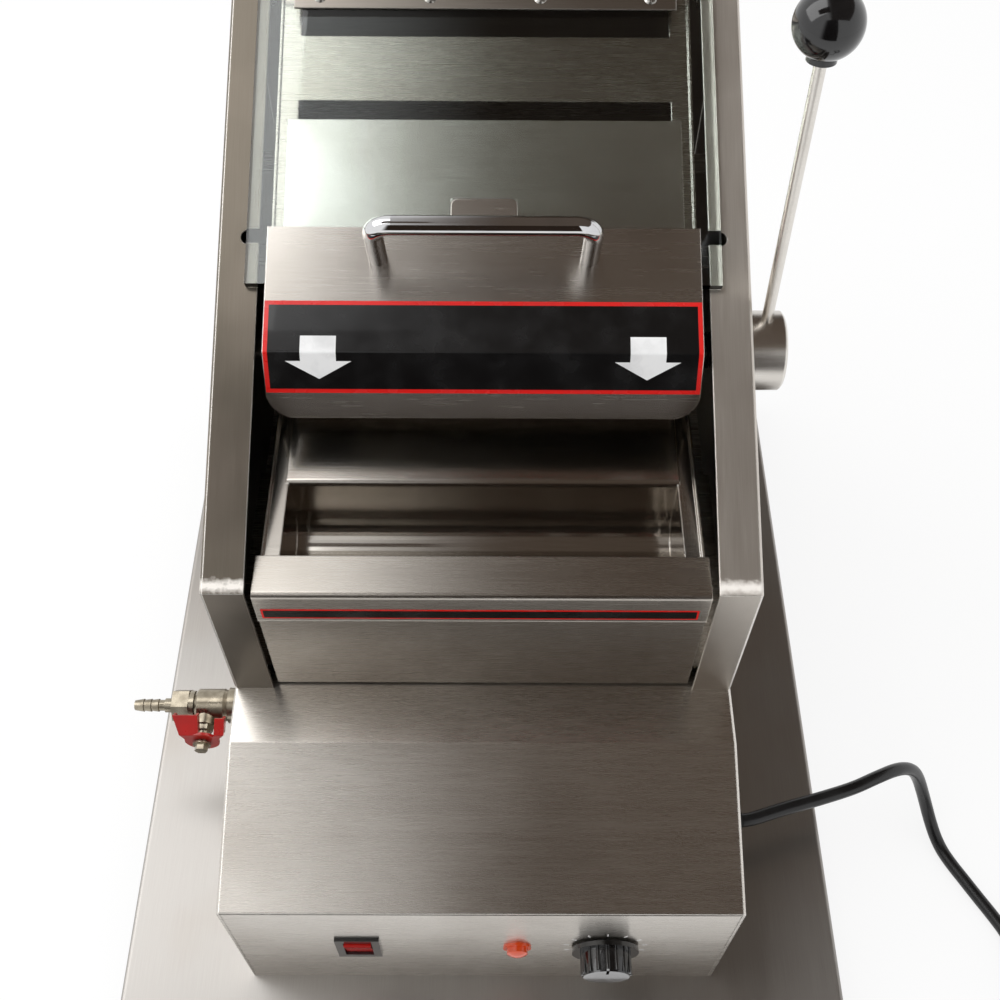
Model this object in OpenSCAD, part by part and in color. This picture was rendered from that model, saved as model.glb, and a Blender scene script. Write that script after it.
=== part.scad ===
// Hot dog steamer with a drawer for the bun, a sloped hopper and a pull lever.
// Front is -Y, right is +X, the table is Z = 0, and the middle of the base pan is X = Y = 0.

/* [Base] */
// Width of the base pan
pan_w = 440; // [430:1:480]
// Depth of the base pan
pan_d = 520; // [510:1:560]
// Height of the base pan's top face over the table
pan_top = 45; // [43:1:48]
// Height of the rubber feet
foot_h = 25; // [20:1:26]

/* [Cabinet] */
// Width of the cabinet and of the tower on it
body_w = 280; // [276:1:290]
// Height of the cabinet's top deck
deck_z = 200; // [198:1:202]
// Front face of the cabinet
cab_front = -228; // [-235:1:-222]
// Back face of the cabinet and tower
cab_back = 242; // [238:1:246]
// Line where the top deck starts to slope down to the front
deck_bend = -142.5; // [-146:0.5:-138]
// Angle of the sloping front of the deck
deck_slope = 16.5; // [12:0.5:20]
// Thickness of the sheet metal
sheet = 1.5; // [1.2:0.1:1.6]

/* [Tower] */
// Front face of the tower's side cheeks
cheek_y = -110; // [-112:1:-108]
// Height of the knee where the cheeks start to slope back
knee_z = 305; // [303:1:307]
// Slope of the hopper door
slope_a = 22.4; // [21:0.1:24]
// Line where the slope ends in the flat tower top
slope_end = 215; // [208:1:218]
// Width of the flange round each cheek's front and top
flange_w = 22; // [20:1:24]

/* [Door] */
// Width of the clear door panel
panel_w = 248; // [244:1:252]
// Thickness of the clear door panel
panel_t = 5; // [4:0.5:6]
// Width of the folded front visor
visor_w = 226; // [222:1:230]
// Distance between the legs of the wire pull
pull_span = 110; // [96:1:120]
// Height of the wire pull over the visor
pull_h = 44; // [32:1:48]
// Thickness of the wire pull's rod
pull_d = 10; // [8:0.5:11]

/* [Drawer] */
// Width of the drawer's lip and front
drawer_w = 231; // [228:1:232]
// Height of the lip's top face
lip_z = 300.5; // [298:0.5:302]
// Depth of the trough that holds the bun
trough_depth = 44; // [36:1:48]
// Half the inner width of the trough
trough_half = 104; // [100:1:105]

/* [Lever] */
// Diameter of the lever hub
hub_d = 43; // [38:1:46]
// Length of the lever hub
hub_l = 20; // [18:1:24]
// Lean of the lever rod behind upright
rod_lean = 8.2; // [4:0.1:12]
// Distance from the hub's axis to the knob's centre
rod_l = 185; // [160:5:190]

/* [Cord] */
// Diameter of the mains cord
cord_d = 8.5; // [8:0.1:9]
// Number of loops in the put-away coil
coil_loops = 5; // [4:1:6]
// Outer radius of the coil's centre line
coil_r = 58; // [54:1:62]

/* [Hidden] */

steel = [0.70, 0.69, 0.67];
steel_dark = [0.52, 0.51, 0.50];
chrome = [0.80, 0.80, 0.82];
nickel = [0.72, 0.68, 0.60];
brass = [0.72, 0.58, 0.30];
red = [0.70, 0.10, 0.10];
black = [0.08, 0.08, 0.09];
clear = [0.80, 0.90, 0.92, 0.45];

half_w = body_w / 2;
gap = 0.3;
bend_r = 3;
rise = tan(slope_a);
tower_top = knee_z + (slope_end - cheek_y) * rise;
deck_front_z = deck_z - (deck_bend - cab_front) * tan(deck_slope);
lip_depth = 24;
lip_face = 25;
tray_half = 114;
ledge_z = lip_z - 4.5;
trough_bottom = ledge_z - trough_depth;
trough_front = cheek_y + 26;
trough_back = cheek_y + 73;
tray_back = 18;
tray_t = 1.2;
chute_z = ledge_z + 4;
shelf_z = 213.5;
hub_y = 31;
hub_z = 328;
hub_x = half_w + 0.8;
rod_x = 150.5;
shaft_d = 12;
rotor_r = 19;
rotor_half = 106;
liner_x = 111;
liner_back = 200;
cover_half = 106;
cover_low = 58;
cover_high = 128;
cover_drop = 2;
hinge_s = slope_s(208);
hinge_lift = 6.5;
leaf_clear = 3.6;
rail_depth = 6.8;
panel_low = slope_s(39);
pull_s = slope_s(52);
visor_crease = slope_s(3);
visor_rear = slope_s(67.7);
visor_fall = 65;
visor_drop = 37.5;
visor_low = panel_t + gap;
visor_fold_r = 2;
valve_x = -171.5;
valve_y = -88;
valve_z = 130;
barb_base = 191.8;
gland_y = -146;
gland_z = 90;
knob_x = 70;
lamp_x = 20;
switch_x = -70;
panel_mid = 112;

// Distance up the slope from the knee, for a place given by its Y
function slope_s(y) = (y - cheek_y) / cos(slope_a);
// Height of the cheeks' sloped face over a place given by its Y
function slope_z(y) = knee_z + (y - cheek_y) * rise;
// Outline of the tower seen from its side, drawn in by e on its front and top, and let out
// by over below and behind
function tower_side(e, over = 0) = let (lift = e / cos(slope_a)) [
    [cheek_y + e, deck_z - over], [cheek_y + e, knee_z + e * rise - lift],
    [slope_end + (lift - e) / rise, tower_top - e], [cab_back + over, tower_top - e],
    [cab_back + over, deck_z - over]];
// Outline of the cabinet seen from its side, in the same way
function cabinet_side(e, over = 0) = let (fall = tan(deck_slope), lift = e / cos(deck_slope)) [
    [cab_front - over, pan_top - over],
    [cab_front - over, deck_z - lift - (deck_bend - cab_front + over) * fall],
    [deck_bend + (lift - e) / fall, deck_z - e], [cab_back + over, deck_z - e],
    [cab_back + over, pan_top - over]];

// Centre line of the free cord from the gland to the coil
cord_route = [[160, -146, 90], [168, -144.7, 90], [187, -138.5, 89.5], [212, -131, 88.5],
    [234, -123.5, 87], [251, -115.5, 84.5], [264, -109, 80], [274.5, -104.5, 73], [283, -102.3, 63.5],
    [289.5, -102.8, 52], [295, -106, 39.5], [300, -111.5, 27.5], [304.4, -119, 17.4], [308.4, -127.3, 10.2],
    [312.6, -135.6, 5.9], [317.5, -144.5, 4.5], [324, -155.5, 4.25], [331, -167.5, 4.25],
    [338.3, -179.8, 4.25], [343.8, -190.3, 4.25], [346.9, -200.9, 4.25], [348, -212, 4.25]];
coil_start = [348, -221];
coil_tail = [[348, -230, 13.65], [348, -238, 13.4], [348, -246, 12.6], [348, -254, 12.1],
    [348, -262, 12]];
coil_pitch = 9.4;
coil_climb = 9.4;
coil_rings = 24;
plug_axis = 12;

// Axes: local x is X, local y runs up the slope and local z stands off it
module on_slope(s, lift = 0) {
    translate([0, cheek_y, knee_z])
        rotate([slope_a, 0, 0])
            translate([0, s, lift])
                children();
}

// A flat outline in (Y, Z), made into a plate from x0 to x0 + len
module along_x(x0, len) {
    translate([x0, 0, 0])
        rotate([90, 0, 90])
            linear_extrude(len)
                children();
}

// A bent sheet seen end-on: one leg along x, one along y, a true outer bend
module bend_profile(w, h, r = bend_r, t = sheet) {
    difference() {
        union() {
            translate([r, 0])
                square([w - r, t]);
            translate([0, r])
                square([t, h - r]);
            intersection() {
                translate([r, r])
                    circle(r, $fn = 48);
                square([r, r]);
            }
        }
        translate([r, r])
            circle(r - t, $fn = 48);
    }
}

// A domed screw head with a cross recess, its seat at z = 0
module screw_head(d = 8, shank = 6) {
    difference() {
        union() {
            intersection() {
                translate([0, 0, -d * 0.55])
                    sphere(d * 0.75, $fn = 32);
                cylinder(h = d, d = d, $fn = 32);
            }
            translate([0, 0, -shank])
                cylinder(h = shank + 0.1, d = d * 0.45, $fn = 24);
        }
        translate([-d * 0.3, -d * 0.06, d * 0.08])
            cube([d * 0.6, d * 0.12, d]);
        translate([-d * 0.06, -d * 0.3, d * 0.08])
            cube([d * 0.12, d * 0.6, d]);
    }
}

// The pan: a wide top sheet, four walls bent down and a lip turned in under them
module base_pan() {
    rim = 18;
    wall_low = foot_h;
    color(steel)
        difference() {
            translate([-pan_w / 2, -pan_d / 2, wall_low])
                cube([pan_w, pan_d, pan_top - wall_low]);
            translate([-pan_w / 2 + sheet, -pan_d / 2 + sheet, wall_low + sheet])
                cube([pan_w - 2 * sheet, pan_d - 2 * sheet, pan_top - wall_low - 2 * sheet]);
            translate([-pan_w / 2 + rim * 2, -pan_d / 2 + rim * 2, wall_low - 1])
                cube([pan_w - rim * 4, pan_d - rim * 4, sheet + 2]);
            pan_corners(190, 230)
                translate([0, 0, wall_low - 1])
                    cylinder(h = sheet + 2, d = 6, $fn = 32);
            edge_break();
        }
}

// The small round that the press brake leaves along the pan's two long edges
module edge_break() {
    r = 3;
    for (side = [-1, 1])
        scale([side, 1, 1])
            translate([pan_w / 2 - r, 0, pan_top - r])
                rotate([90, 0, 0])
                    linear_extrude(pan_d + 2, center = true)
                        difference() {
                            square([r + 1, r + 1]);
                            circle(r, $fn = 48);
                        }
}

module pan_corners(x, y) {
    for (sx = [-1, 1])
        for (sy = [-1, 1])
            translate([sx * x, sy * y, 0])
                children();
}

module rubber_feet() {
    color(black)
        pan_corners(190, 230)
            rotate_extrude($fn = 64)
                polygon([[3.2, 8], [3.2, foot_h], [19, foot_h], [19, foot_h - 4], [16, 1.5],
                    [14.5, 0], [9, 0], [8, 1.5], [7, 8]]);
}

module foot_screws() {
    color(chrome)
        pan_corners(190, 230)
            union() {
                translate([0, 0, 4.6])
                    cylinder(h = 3.4, d1 = 10, d2 = 11, $fn = 32);
                translate([0, 0, 7.9])
                    cylinder(h = foot_h - 3, d = 5, $fn = 32);
                translate([0, 0, foot_h + sheet])
                    cylinder(h = 4, d = 9.2, $fn = 6);
            }
}

// What a bend takes off a square outer edge that runs along z through the origin, solid in +x and +y
module bend_flat(len) {
    flat = 1.4;
    linear_extrude(len)
        polygon([[-1, -1], [flat + 1, -1], [-1, flat + 1]]);
}

// The wrap of the cabinet: both sides, the deck and its sloping front in one sheet
module cabinet_shell() {
    color(steel)
        difference() {
            along_x(-half_w, body_w)
                polygon(cabinet_side(0));
            along_x(-half_w + sheet, body_w - 2 * sheet)
                polygon(cabinet_side(sheet, 1));
            for (side = [-1, 1])
                scale([side, 1, 1]) {
                    translate([-half_w, cab_back + 1, deck_z])
                        rotate([90, 0, 0])
                            mirror([0, 1, 0])
                                bend_flat(cab_back - deck_bend + 4);
                    translate([-half_w, deck_bend, deck_z])
                        rotate([90 + deck_slope, 0, 0])
                            translate([0, 0, -3])
                                mirror([0, 1, 0])
                                    bend_flat(100);
                }
            translate([-half_w - 1, valve_y, valve_z])
                rotate([0, 90, 0])
                    cylinder(h = 10, d = 14, $fn = 48);
            translate([half_w - 5, gland_y, gland_z])
                rotate([0, 90, 0])
                    cylinder(h = 10, d = 16, $fn = 48);
            translate([-60, 70, deck_z - 5])
                cube([120, 50, 10]);
        }
}

// The controls' panel: a box-bent sheet set into the front of the wrap
module front_panel() {
    w = body_w - 2 * sheet - 0.6;
    low = pan_top;
    high = deck_front_z - 3;
    color(steel)
        difference() {
            union() {
                translate([-w / 2, cab_front, low])
                    cube([w, sheet, high - low]);
                for (z = [low, high - sheet])
                    translate([-w / 2, cab_front, z])
                        cube([w, 14, sheet]);
            }
            translate([switch_x - 10.5, cab_front - 1, panel_mid - 14])
                cube([21, 4, 28]);
            for (place = [[knob_x, 10.4], [lamp_x, 12.4]])
                translate([place[0], cab_front - 1, panel_mid])
                    rotate([-90, 0, 0])
                        cylinder(h = 4, d = place[1], $fn = 48);
        }
}

// Pressed louvres in two columns: long slots, each under a half-round hood
module rear_panel() {
    w = body_w - 2 * sheet - 0.6;
    slot_w = 70;
    rows = 5;
    color(steel_dark)
        difference() {
            union() {
                translate([-w / 2, cab_back - sheet - 0.5, pan_top])
                    cube([w, sheet, deck_z - pan_top - 3]);
                for (i = [0 : rows - 1])
                    louvre_at(i)
                        rotate([0, 90, 0])
                            intersection() {
                                cylinder(h = slot_w, r = 5, center = true, $fn = 40);
                                translate([-6, 0, -slot_w / 2])
                                    cube([6, 6, slot_w]);
                            }
            }
            for (i = [0 : rows - 1])
                louvre_at(i)
                    rotate([0, 90, 0])
                        intersection() {
                            cylinder(h = slot_w - 3, r = 3.8, center = true, $fn = 40);
                            translate([-6, -2.5, -slot_w / 2])
                                cube([7, 7, slot_w]);
                        }
            rear_screw_places()
                rotate([90, 0, 0])
                    cylinder(h = 8, d = 4.2, center = true, $fn = 32);
        }
}

module louvre_at(i) {
    for (sx = [-1, 1])
        translate([sx * 60, cab_back - 0.5, 90 + i * 18])
            children();
}

module rear_screw_places() {
    for (x = [-125, 0, 125])
        for (z = [56, 186])
            translate([x, cab_back - 0.5, z])
                children();
}

module rear_screws() {
    color(chrome) {
        rear_screw_places()
            rotate([-90, 0, 0])
                screw_head(8, 7);
        for (x = [-125, 125])
            for (z = [230, 400])
                translate([x, cab_back, z])
                    rotate([-90, 0, 0])
                        screw_head(8, 7);
    }
}

// One cheek of the tower, drawn on the left: a wall with a flange bent in round its front and top
module cheek() {
    difference() {
        along_x(-half_w, flange_w)
            polygon(tower_side(0));
        along_x(-half_w + sheet, flange_w)
            polygon(tower_side(sheet, 1));
        translate([-half_w, cheek_y, deck_z - 1])
            bend_flat(knee_z - deck_z + 5);
        on_slope(-4)
            translate([-half_w, 0, 0])
                rotate([-90, 0, 0])
                    bend_flat(slope_s(slope_end) + 8);
        translate([-half_w, slope_end - 4, tower_top])
            rotate([-90, 0, 0])
                bend_flat(cab_back - slope_end + 6);
        on_slope(slope_s(65))
            union() {
                translate([-half_w + flange_w - 6, -4, -6])
                    cube([10, 8, 12]);
                translate([-half_w + flange_w - 6, 0, -6])
                    cylinder(h = 12, d = 8, $fn = 48);
            }
        translate([-half_w - 1, hub_y, hub_z])
            rotate([0, 90, 0])
                cylinder(h = 5, d = 18, $fn = 64);
    }
}

module left_cheek() {
    color(steel)
        cheek();
}

module right_cheek() {
    color(steel)
        mirror([1, 0, 0])
            cheek();
}

// The back of the tower and its flat top in one bent sheet, set in between the cheeks
module tower_back() {
    w = body_w - 2 * sheet - 0.4;
    top = tower_top - sheet - 0.1;
    color(steel_dark)
        difference() {
            along_x(-w / 2, w)
                union() {
                    translate([cab_back - 0.1, top])
                        rotate(180)
                            bend_profile(cab_back - slope_end - 4, top - deck_z);
                    translate([slope_end + 3.9, top - 9])
                        square([sheet, 9]);
                }
            for (x = [-125, 125])
                for (z = [230, 400])
                    translate([x, cab_back, z])
                        rotate([90, 0, 0])
                            cylinder(h = 8, d = 4.2, center = true, $fn = 32);
        }
}

// The hopper's two walls, front drop wall and back wall, with ledges that the cover slides on
module hopper_liner() {
    ledge_drop = cover_drop + 3.2;
    low_z = 308;
    color(steel_dark)
        difference() {
            union() {
                for (side = [-1, 1])
                    scale([side, 1, 1]) {
                        along_x(liner_x, sheet)
                            polygon([[2, low_z], [2, slope_z(2) - 4], [liner_back, slope_z(liner_back) - 4],
                                [liner_back, low_z]]);
                        on_slope(slope_s(30), -ledge_drop - sheet)
                            translate([liner_x - 10, 0, 0])
                                cube([10.5, slope_s(198) - slope_s(30), sheet]);
                    }
                translate([-liner_x, liner_back - 24, low_z])
                    cube([2 * liner_x, sheet, slope_z(liner_back - 24) - low_z - 9]);
                on_slope(slope_s(140), -ledge_drop - sheet)
                    translate([-liner_x, 0, 0])
                        cube([2 * liner_x, slope_s(176) - slope_s(140), sheet]);
                for (side = [-1, 1])
                    for (y = [90, 170])
                        scale([side, 1, 1])
                            translate([liner_x + 0.5, y, 330])
                                cube([half_w - sheet - liner_x - 0.5, 16, sheet]);
            }
            for (side = [-1, 1])
                scale([side, 1, 1])
                    translate([liner_x - 1, hub_y, hub_z])
                        rotate([0, 90, 0])
                            cylinder(h = 5, d = shaft_d + 2, $fn = 64);
        }
}

// The sloping floor that rolls the sausages forward, with rows of steam holes
module hopper_floor() {
    floor_a = 20;
    len = 122;
    w = 2 * liner_x;
    color(steel_dark)
        translate([0, 55, 312])
            rotate([floor_a, 0, 0])
                difference() {
                    union() {
                        translate([-w / 2, 0, 0])
                            cube([w, len, sheet]);
                        translate([-w / 2, len - sheet, -10])
                            cube([w, sheet, 10]);
                    }
                    for (i = [0 : 6])
                        for (j = [0 : 3])
                            translate([-84 + i * 28, 24 + j * 24, -1])
                                cylinder(h = 4, d = 8, $fn = 32);
                }
}

// Flanged bushes of the rotor's shaft, flange inside each cheek
module shaft_bushes() {
    color(brass)
        for (side = [-1, 1])
            scale([side, 1, 1])
                translate([half_w, hub_y, hub_z])
                    rotate([0, 90, 0])
                        difference() {
                            union() {
                                translate([0, 0, -sheet])
                                    cylinder(h = sheet + 0.4, d = 18, $fn = 64);
                                translate([0, 0, -sheet - 4])
                                    cylinder(h = 4, d = 26, $fn = 64);
                            }
                            translate([0, 0, -10])
                                cylinder(h = 20, d = shaft_d + 0.1, $fn = 64);
                        }
}

// Angle rails on the deck that the drawer's turned-out flanges slide on
module drawer_runners() {
    outer = half_w - sheet;
    inner = 115;
    color(steel_dark)
        for (side = [-1, 1])
            scale([side, 1, 1])
                translate([0, cheek_y + 8, 0])
                    rotate([90, 0, 180])
                        mirror([1, 0, 0])
                            linear_extrude(132)
                                union() {
                                    translate([inner, shelf_z - sheet])
                                        square([outer - inner, sheet]);
                                    translate([126, deck_z])
                                        square([sheet, shelf_z - deck_z]);
                                    translate([126, deck_z])
                                        square([outer - 126, sheet]);
                                }
}

// The open water tank, a drawn box with rounded corners and a rim, on two bent rails
module water_tank() {
    tank_z = 72;
    rail_w = 160;
    color(steel_dark)
        translate([0, 60, tank_z])
            difference() {
                union() {
                    for (y = [-70, 70])
                        translate([-rail_w / 2, y, pan_top - tank_z]) {
                            cube([rail_w, sheet, tank_z - pan_top + 0.1]);
                            cube([rail_w, 12, sheet]);
                        }
                    rounded_block(220, 200, 70, 16);
                    translate([0, 0, 68])
                        rounded_block(236, 216, 2, 20);
                }
                translate([0, 0, 2])
                    rounded_block(216, 196, 80, 14);
                translate([-80, -98, 12])
                    rotate([90, 0, 0])
                        cylinder(h = 10, d = 10, center = true, $fn = 48);
                for (x = [80, 104])
                    translate([x - 20, -98, 26])
                        rotate([90, 0, 0])
                            cylinder(h = 10, d = 8.4, center = true, $fn = 48);
            }
}

module rounded_block(w, d, h, r) {
    linear_extrude(h)
        union() {
            square([w - 2 * r, d], center = true);
            square([w, d - 2 * r], center = true);
            for (sx = [-1, 1])
                for (sy = [-1, 1])
                    translate([sx * (w / 2 - r), sy * (d / 2 - r)])
                        circle(r, $fn = 48);
        }
}

// The tank's lid with the opening that the steam duct stands on
module tank_lid() {
    color(steel)
        translate([0, 60, 142])
            difference() {
                rounded_block(236, 216, sheet, 20);
                translate([-48, 20, -1])
                    cube([96, 30, 4]);
            }
}

// A bent tube heater lying in the tank, its two ends through the tank's front wall
module heating_element() {
    tube = 8;
    low = 98;
    front = -42;
    back = 110;
    color(steel)
        translate([0, 0, low]) {
            for (x = [60, 84])
                translate([x, front, 0])
                    rotate([-90, 0, 0])
                        cylinder(h = (x == 84 ? back : 92) - front, d = tube, $fn = 32);
            translate([-60, 92, 0])
                rotate([90, 0, 0])
                    cylinder(h = 92, d = tube, $fn = 32);
            translate([-84, 110, 0])
                rotate([90, 0, 0])
                    cylinder(h = 110, d = tube, $fn = 32);
            tube_bend(72, 110, 12, 0, 90, tube);
            tube_bend(-72, 110, 12, 90, 90, tube);
            translate([-72, 122, 0])
                rotate([0, 90, 0])
                    cylinder(h = 144, d = tube, $fn = 32);
            tube_bend(48, 92, 12, 0, 90, tube);
            tube_bend(-48, 92, 12, 90, 90, tube);
            translate([-48, 104, 0])
                rotate([0, 90, 0])
                    cylinder(h = 96, d = tube, $fn = 32);
            tube_bend(-72, 0, 12, 180, 180, tube);
        }
}

module tube_bend(x, y, r, start, sweep, d) {
    translate([x, y, 0])
        rotate([0, 0, start])
            rotate_extrude(angle = sweep, $fn = 64)
                translate([r, 0])
                    circle(d = d, $fn = 32);
}

// The duct that carries the steam from the tank up under the hopper's floor
module steam_duct() {
    color(steel_dark)
        translate([0, 95, 143.5])
            difference() {
                union() {
                    translate([-50, -16, 0])
                        cube([100, 34, 150]);
                    translate([-56, -22, 0])
                        cube([112, 46, sheet]);
                }
                translate([-48.5, -14.5, -1])
                    cube([97, 31, 160]);
            }
}

// The thermostat's body and its shaft through the control panel
module thermostat() {
    color(steel_dark)
        translate([knob_x, cab_front + sheet, panel_mid])
            rotate([-90, 0, 0])
                union() {
                    translate([-18, -15, 3])
                        cube([36, 30, 22]);
                    cylinder(h = 4, d = 16, $fn = 48);
                    translate([0, 0, -sheet - 12])
                        cylinder(h = 14, d = 6, $fn = 48);
                }
}

// The pipe from the tank's bottom to the drain valve
module drain_pipe() {
    color(nickel)
        union() {
            translate([-150, valve_y, valve_z])
                rotate([0, 90, 0])
                    cylinder(h = 58, d = 10, $fn = 48);
            translate([-92, valve_y + 12, valve_z])
                rotate([0, 0, -90])
                    rotate_extrude(angle = 90, $fn = 64)
                        translate([12, 0])
                            circle(d = 10, $fn = 48);
            translate([-80, -76, valve_z])
                rotate([-90, 0, 0])
                    cylinder(h = 14, d = 10, $fn = 48);
            translate([-80, -62, valve_z - 12])
                rotate([90, 0, 90])
                    rotate_extrude(angle = 90, $fn = 64)
                        translate([12, 0])
                            circle(d = 10, $fn = 48);
            translate([-80, -50, 96])
                cylinder(h = 22, d = 10, $fn = 48);
            translate([-80, -38, 96])
                rotate([-90, 0, 90])
                    rotate_extrude(angle = 90, $fn = 64)
                        translate([12, 0])
                            circle(d = 10, $fn = 48);
            translate([-80, -38, 84])
                rotate([-90, 0, 0])
                    cylinder(h = 5, d = 10, $fn = 48);
        }
}

// A small ball valve's body along X, hex end outwards, boss for the stem to the front
module valve_body() {
    color(nickel)
        translate([0, valve_y, valve_z])
            difference() {
                union() {
                    rotate([0, -90, 0]) {
                        translate([0, 0, half_w + 0.2])
                            cylinder(h = 5, d = 22, $fn = 6);
                        translate([0, 0, half_w + 5])
                            cylinder(h = 8, d = 15, $fn = 48);
                        translate([0, 0, 152.5])
                            cylinder(h = 5, d = 22, $fn = 64);
                        translate([0, 0, 157.4])
                            cylinder(h = 3, d1 = 18.5, d2 = 20, $fn = 64);
                        translate([0, 0, 160.3])
                            cylinder(h = 15.9, d = 20.5, $fn = 64);
                        translate([0, 0, 176.2])
                            cylinder(h = 2.5, d1 = 20.5, d2 = 16.5, $fn = 64);
                        translate([0, 0, 178.6])
                            cylinder(h = 3.2, d = 18, $fn = 64);
                        translate([0, 0, 181.7])
                            rotate([0, 0, 30])
                                cylinder(h = barb_base - 181.7, d = 21, $fn = 6);
                    }
                    translate([valve_x, 0, 0])
                        rotate([90, 0, 0])
                            cylinder(h = 14, d = 13, $fn = 48);
                }
                translate([-130, 0, 0])
                    rotate([0, -90, 0])
                        cylinder(h = 20.1, d = 10, $fn = 48);
                rotate([0, -90, 0])
                    translate([0, 0, 149])
                        cylinder(h = 60, d = 6, $fn = 48);
                translate([valve_x, -9, 0])
                    rotate([90, 0, 0])
                        cylinder(h = 6, d = 7, $fn = 48);
            }
}

// The hose barb: a collar and three ridges, bored through
module valve_barb() {
    ridge = 4.6;
    first = 9.5;
    color(nickel)
        translate([-barb_base, valve_y, valve_z])
            rotate([0, -90, 0])
                rotate_extrude($fn = 64)
                    polygon([[2.4, 0], [4.4, 0], [4.4, 5.4], [3.4, 5.4], [3.4, first - 0.5], [4, first],
                        [3.4, first + ridge], [4, first + ridge], [3.4, first + 2 * ridge],
                        [4, first + 2 * ridge], [3.1, first + 3 * ridge + 1], [2.4, first + 3 * ridge + 1]]);
}

// The stem's packing nut and the flats that carry the handle
module valve_stem() {
    color(nickel)
        translate([valve_x, valve_y - 14, valve_z])
            rotate([90, 0, 0])
                difference() {
                    union() {
                        cylinder(h = 3.5, d = 11.5, $fn = 6);
                        translate([0, 0, -2])
                            cylinder(h = 2.1, d = 6.8, $fn = 48);
                        cylinder(h = 8.5, d = 7.4, $fn = 48);
                        translate([0, 0, 8.4])
                            intersection() {
                                cylinder(h = 3, d = 6.4, $fn = 48);
                                translate([-4, -2.5, 0])
                                    cube([8, 5, 3]);
                            }
                    }
                    translate([0, 0, -3])
                        cylinder(h = 15, d = 3.2, $fn = 32);
                }
}

// The red handle: a round plate on the stem, with a wide wing and a narrow one bent back from it
module valve_handle() {
    t = 1.6;
    fold = 9;
    color(red)
        translate([valve_x, valve_y - 14 - 8.5, valve_z])
            rotate([90, 0, 0])
                difference() {
                    union() {
                        cylinder(h = t, d = 21, $fn = 64);
                        linear_extrude(t)
                            polygon([[-9.5, 2], [-1, 2], [-1, fold], [-12, fold]]);
                        handle_wing([[-12.2, -0.9], [-0.8, -0.9], [-0.8, 11.5], [-16, 11.5]]);
                        handle_flange([[-12.5, 0.1], [-10.9, 0.1], [-14.4, 11.5], [-16, 11.5]]);
                        handle_flange([[-2.4, 0.1], [-0.8, 0.1], [-0.8, 11.5], [-2.4, 11.5]]);
                        linear_extrude(t)
                            polygon([[5, 2], [9.5, 2], [14.4, fold], [8.8, fold]]);
                        handle_wing([[8.6, -0.9], [14.6, -0.9], [15.2, 9.5], [9.4, 9.5]]);
                        handle_flange([[13.1, 0.1], [14.7, 0.1], [15.2, 9.5], [13.6, 9.5]]);
                    }
                    translate([0, 0, -1])
                        cylinder(h = 5, d = 6.6, $fn = 48);
                }
    module handle_wing(face) {
        translate([0, fold, 0])
            rotate([-48, 0, 0])
                linear_extrude(t)
                    polygon(face);
    }
    module handle_flange(edge) {
        translate([0, fold, 0])
            rotate([-48, 0, 0])
                translate([0, 0, -3.6])
                    linear_extrude(4)
                        polygon(edge);
    }
}

// The nut and washer that hold the handle on the stem
module valve_bolt() {
    color(nickel)
        translate([valve_x, valve_y - 14 - 8.5 - 1.6, valve_z])
            rotate([90, 0, 0])
                union() {
                    translate([0, 0, 1.4])
                        cylinder(h = 1, d = 11, $fn = 48);
                    translate([0, 0, 2.4])
                        cylinder(h = 3.6, d = 8.1, $fn = 6);
                    translate([0, 0, -12])
                        cylinder(h = 18, d = 3, $fn = 32);
                }
}

// The drawer's front: a lip folded back at the top, hemmed below, over a plain lower panel
module drawer_front() {
    face = cheek_y + 1.5;
    lip_back = cheek_y + lip_depth + 1.5;
    hem = lip_z - lip_face;
    color(steel)
        along_x(-drawer_w / 2, drawer_w)
            union() {
                translate([face, lip_z])
                    mirror([0, 1])
                        bend_profile(lip_back - face, lip_face - 1);
                translate([face + 1.5, hem])
                    circle(1.5, $fn = 32);
                translate([face + 1.5, hem - 1.5])
                    square([sheet, 6]);
                translate([lip_back - sheet, trough_bottom + 20])
                    square([sheet, lip_z - trough_bottom - 20 - 0.5]);
                translate([face + 1.5, deck_z + 2])
                    square([sheet, hem - deck_z - 1]);
                translate([face + 1.5, deck_z + 2])
                    square([10, sheet]);
            }
}

// Points of an arc round c, both ends included
function arc(c, r, from, to, n = 8) = [for (k = [0 : n])
    let (a = from + (to - from) * k / n) c + r * [cos(a), sin(a)]];
function reversed(p) = [for (i = [len(p) - 1 : -1 : 0]) p[i]];
// One face of the tray's sheet, seen from the side, o under its upper face: down behind
// the lip, along the trough's bottom and up its round back
function trough_face(o) = let (front_r = 5, back_r = 16) concat(
    [[trough_front + tray_t - o, ledge_z]],
    arc([trough_front + tray_t + front_r, trough_bottom + front_r], front_r + o, 180, 270, 6),
    arc([trough_back - back_r, trough_bottom + back_r], back_r + o, 270, 360, 12));
// The same face carried over the rolled edge and back along the chute
function tray_face(o) = let (roll = 3, crest = ledge_z + 1) concat(trough_face(o),
    arc([trough_back + roll, crest - roll], roll - o, 180, 90, 6),
    [[tray_back, chute_z - o]]);

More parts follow.
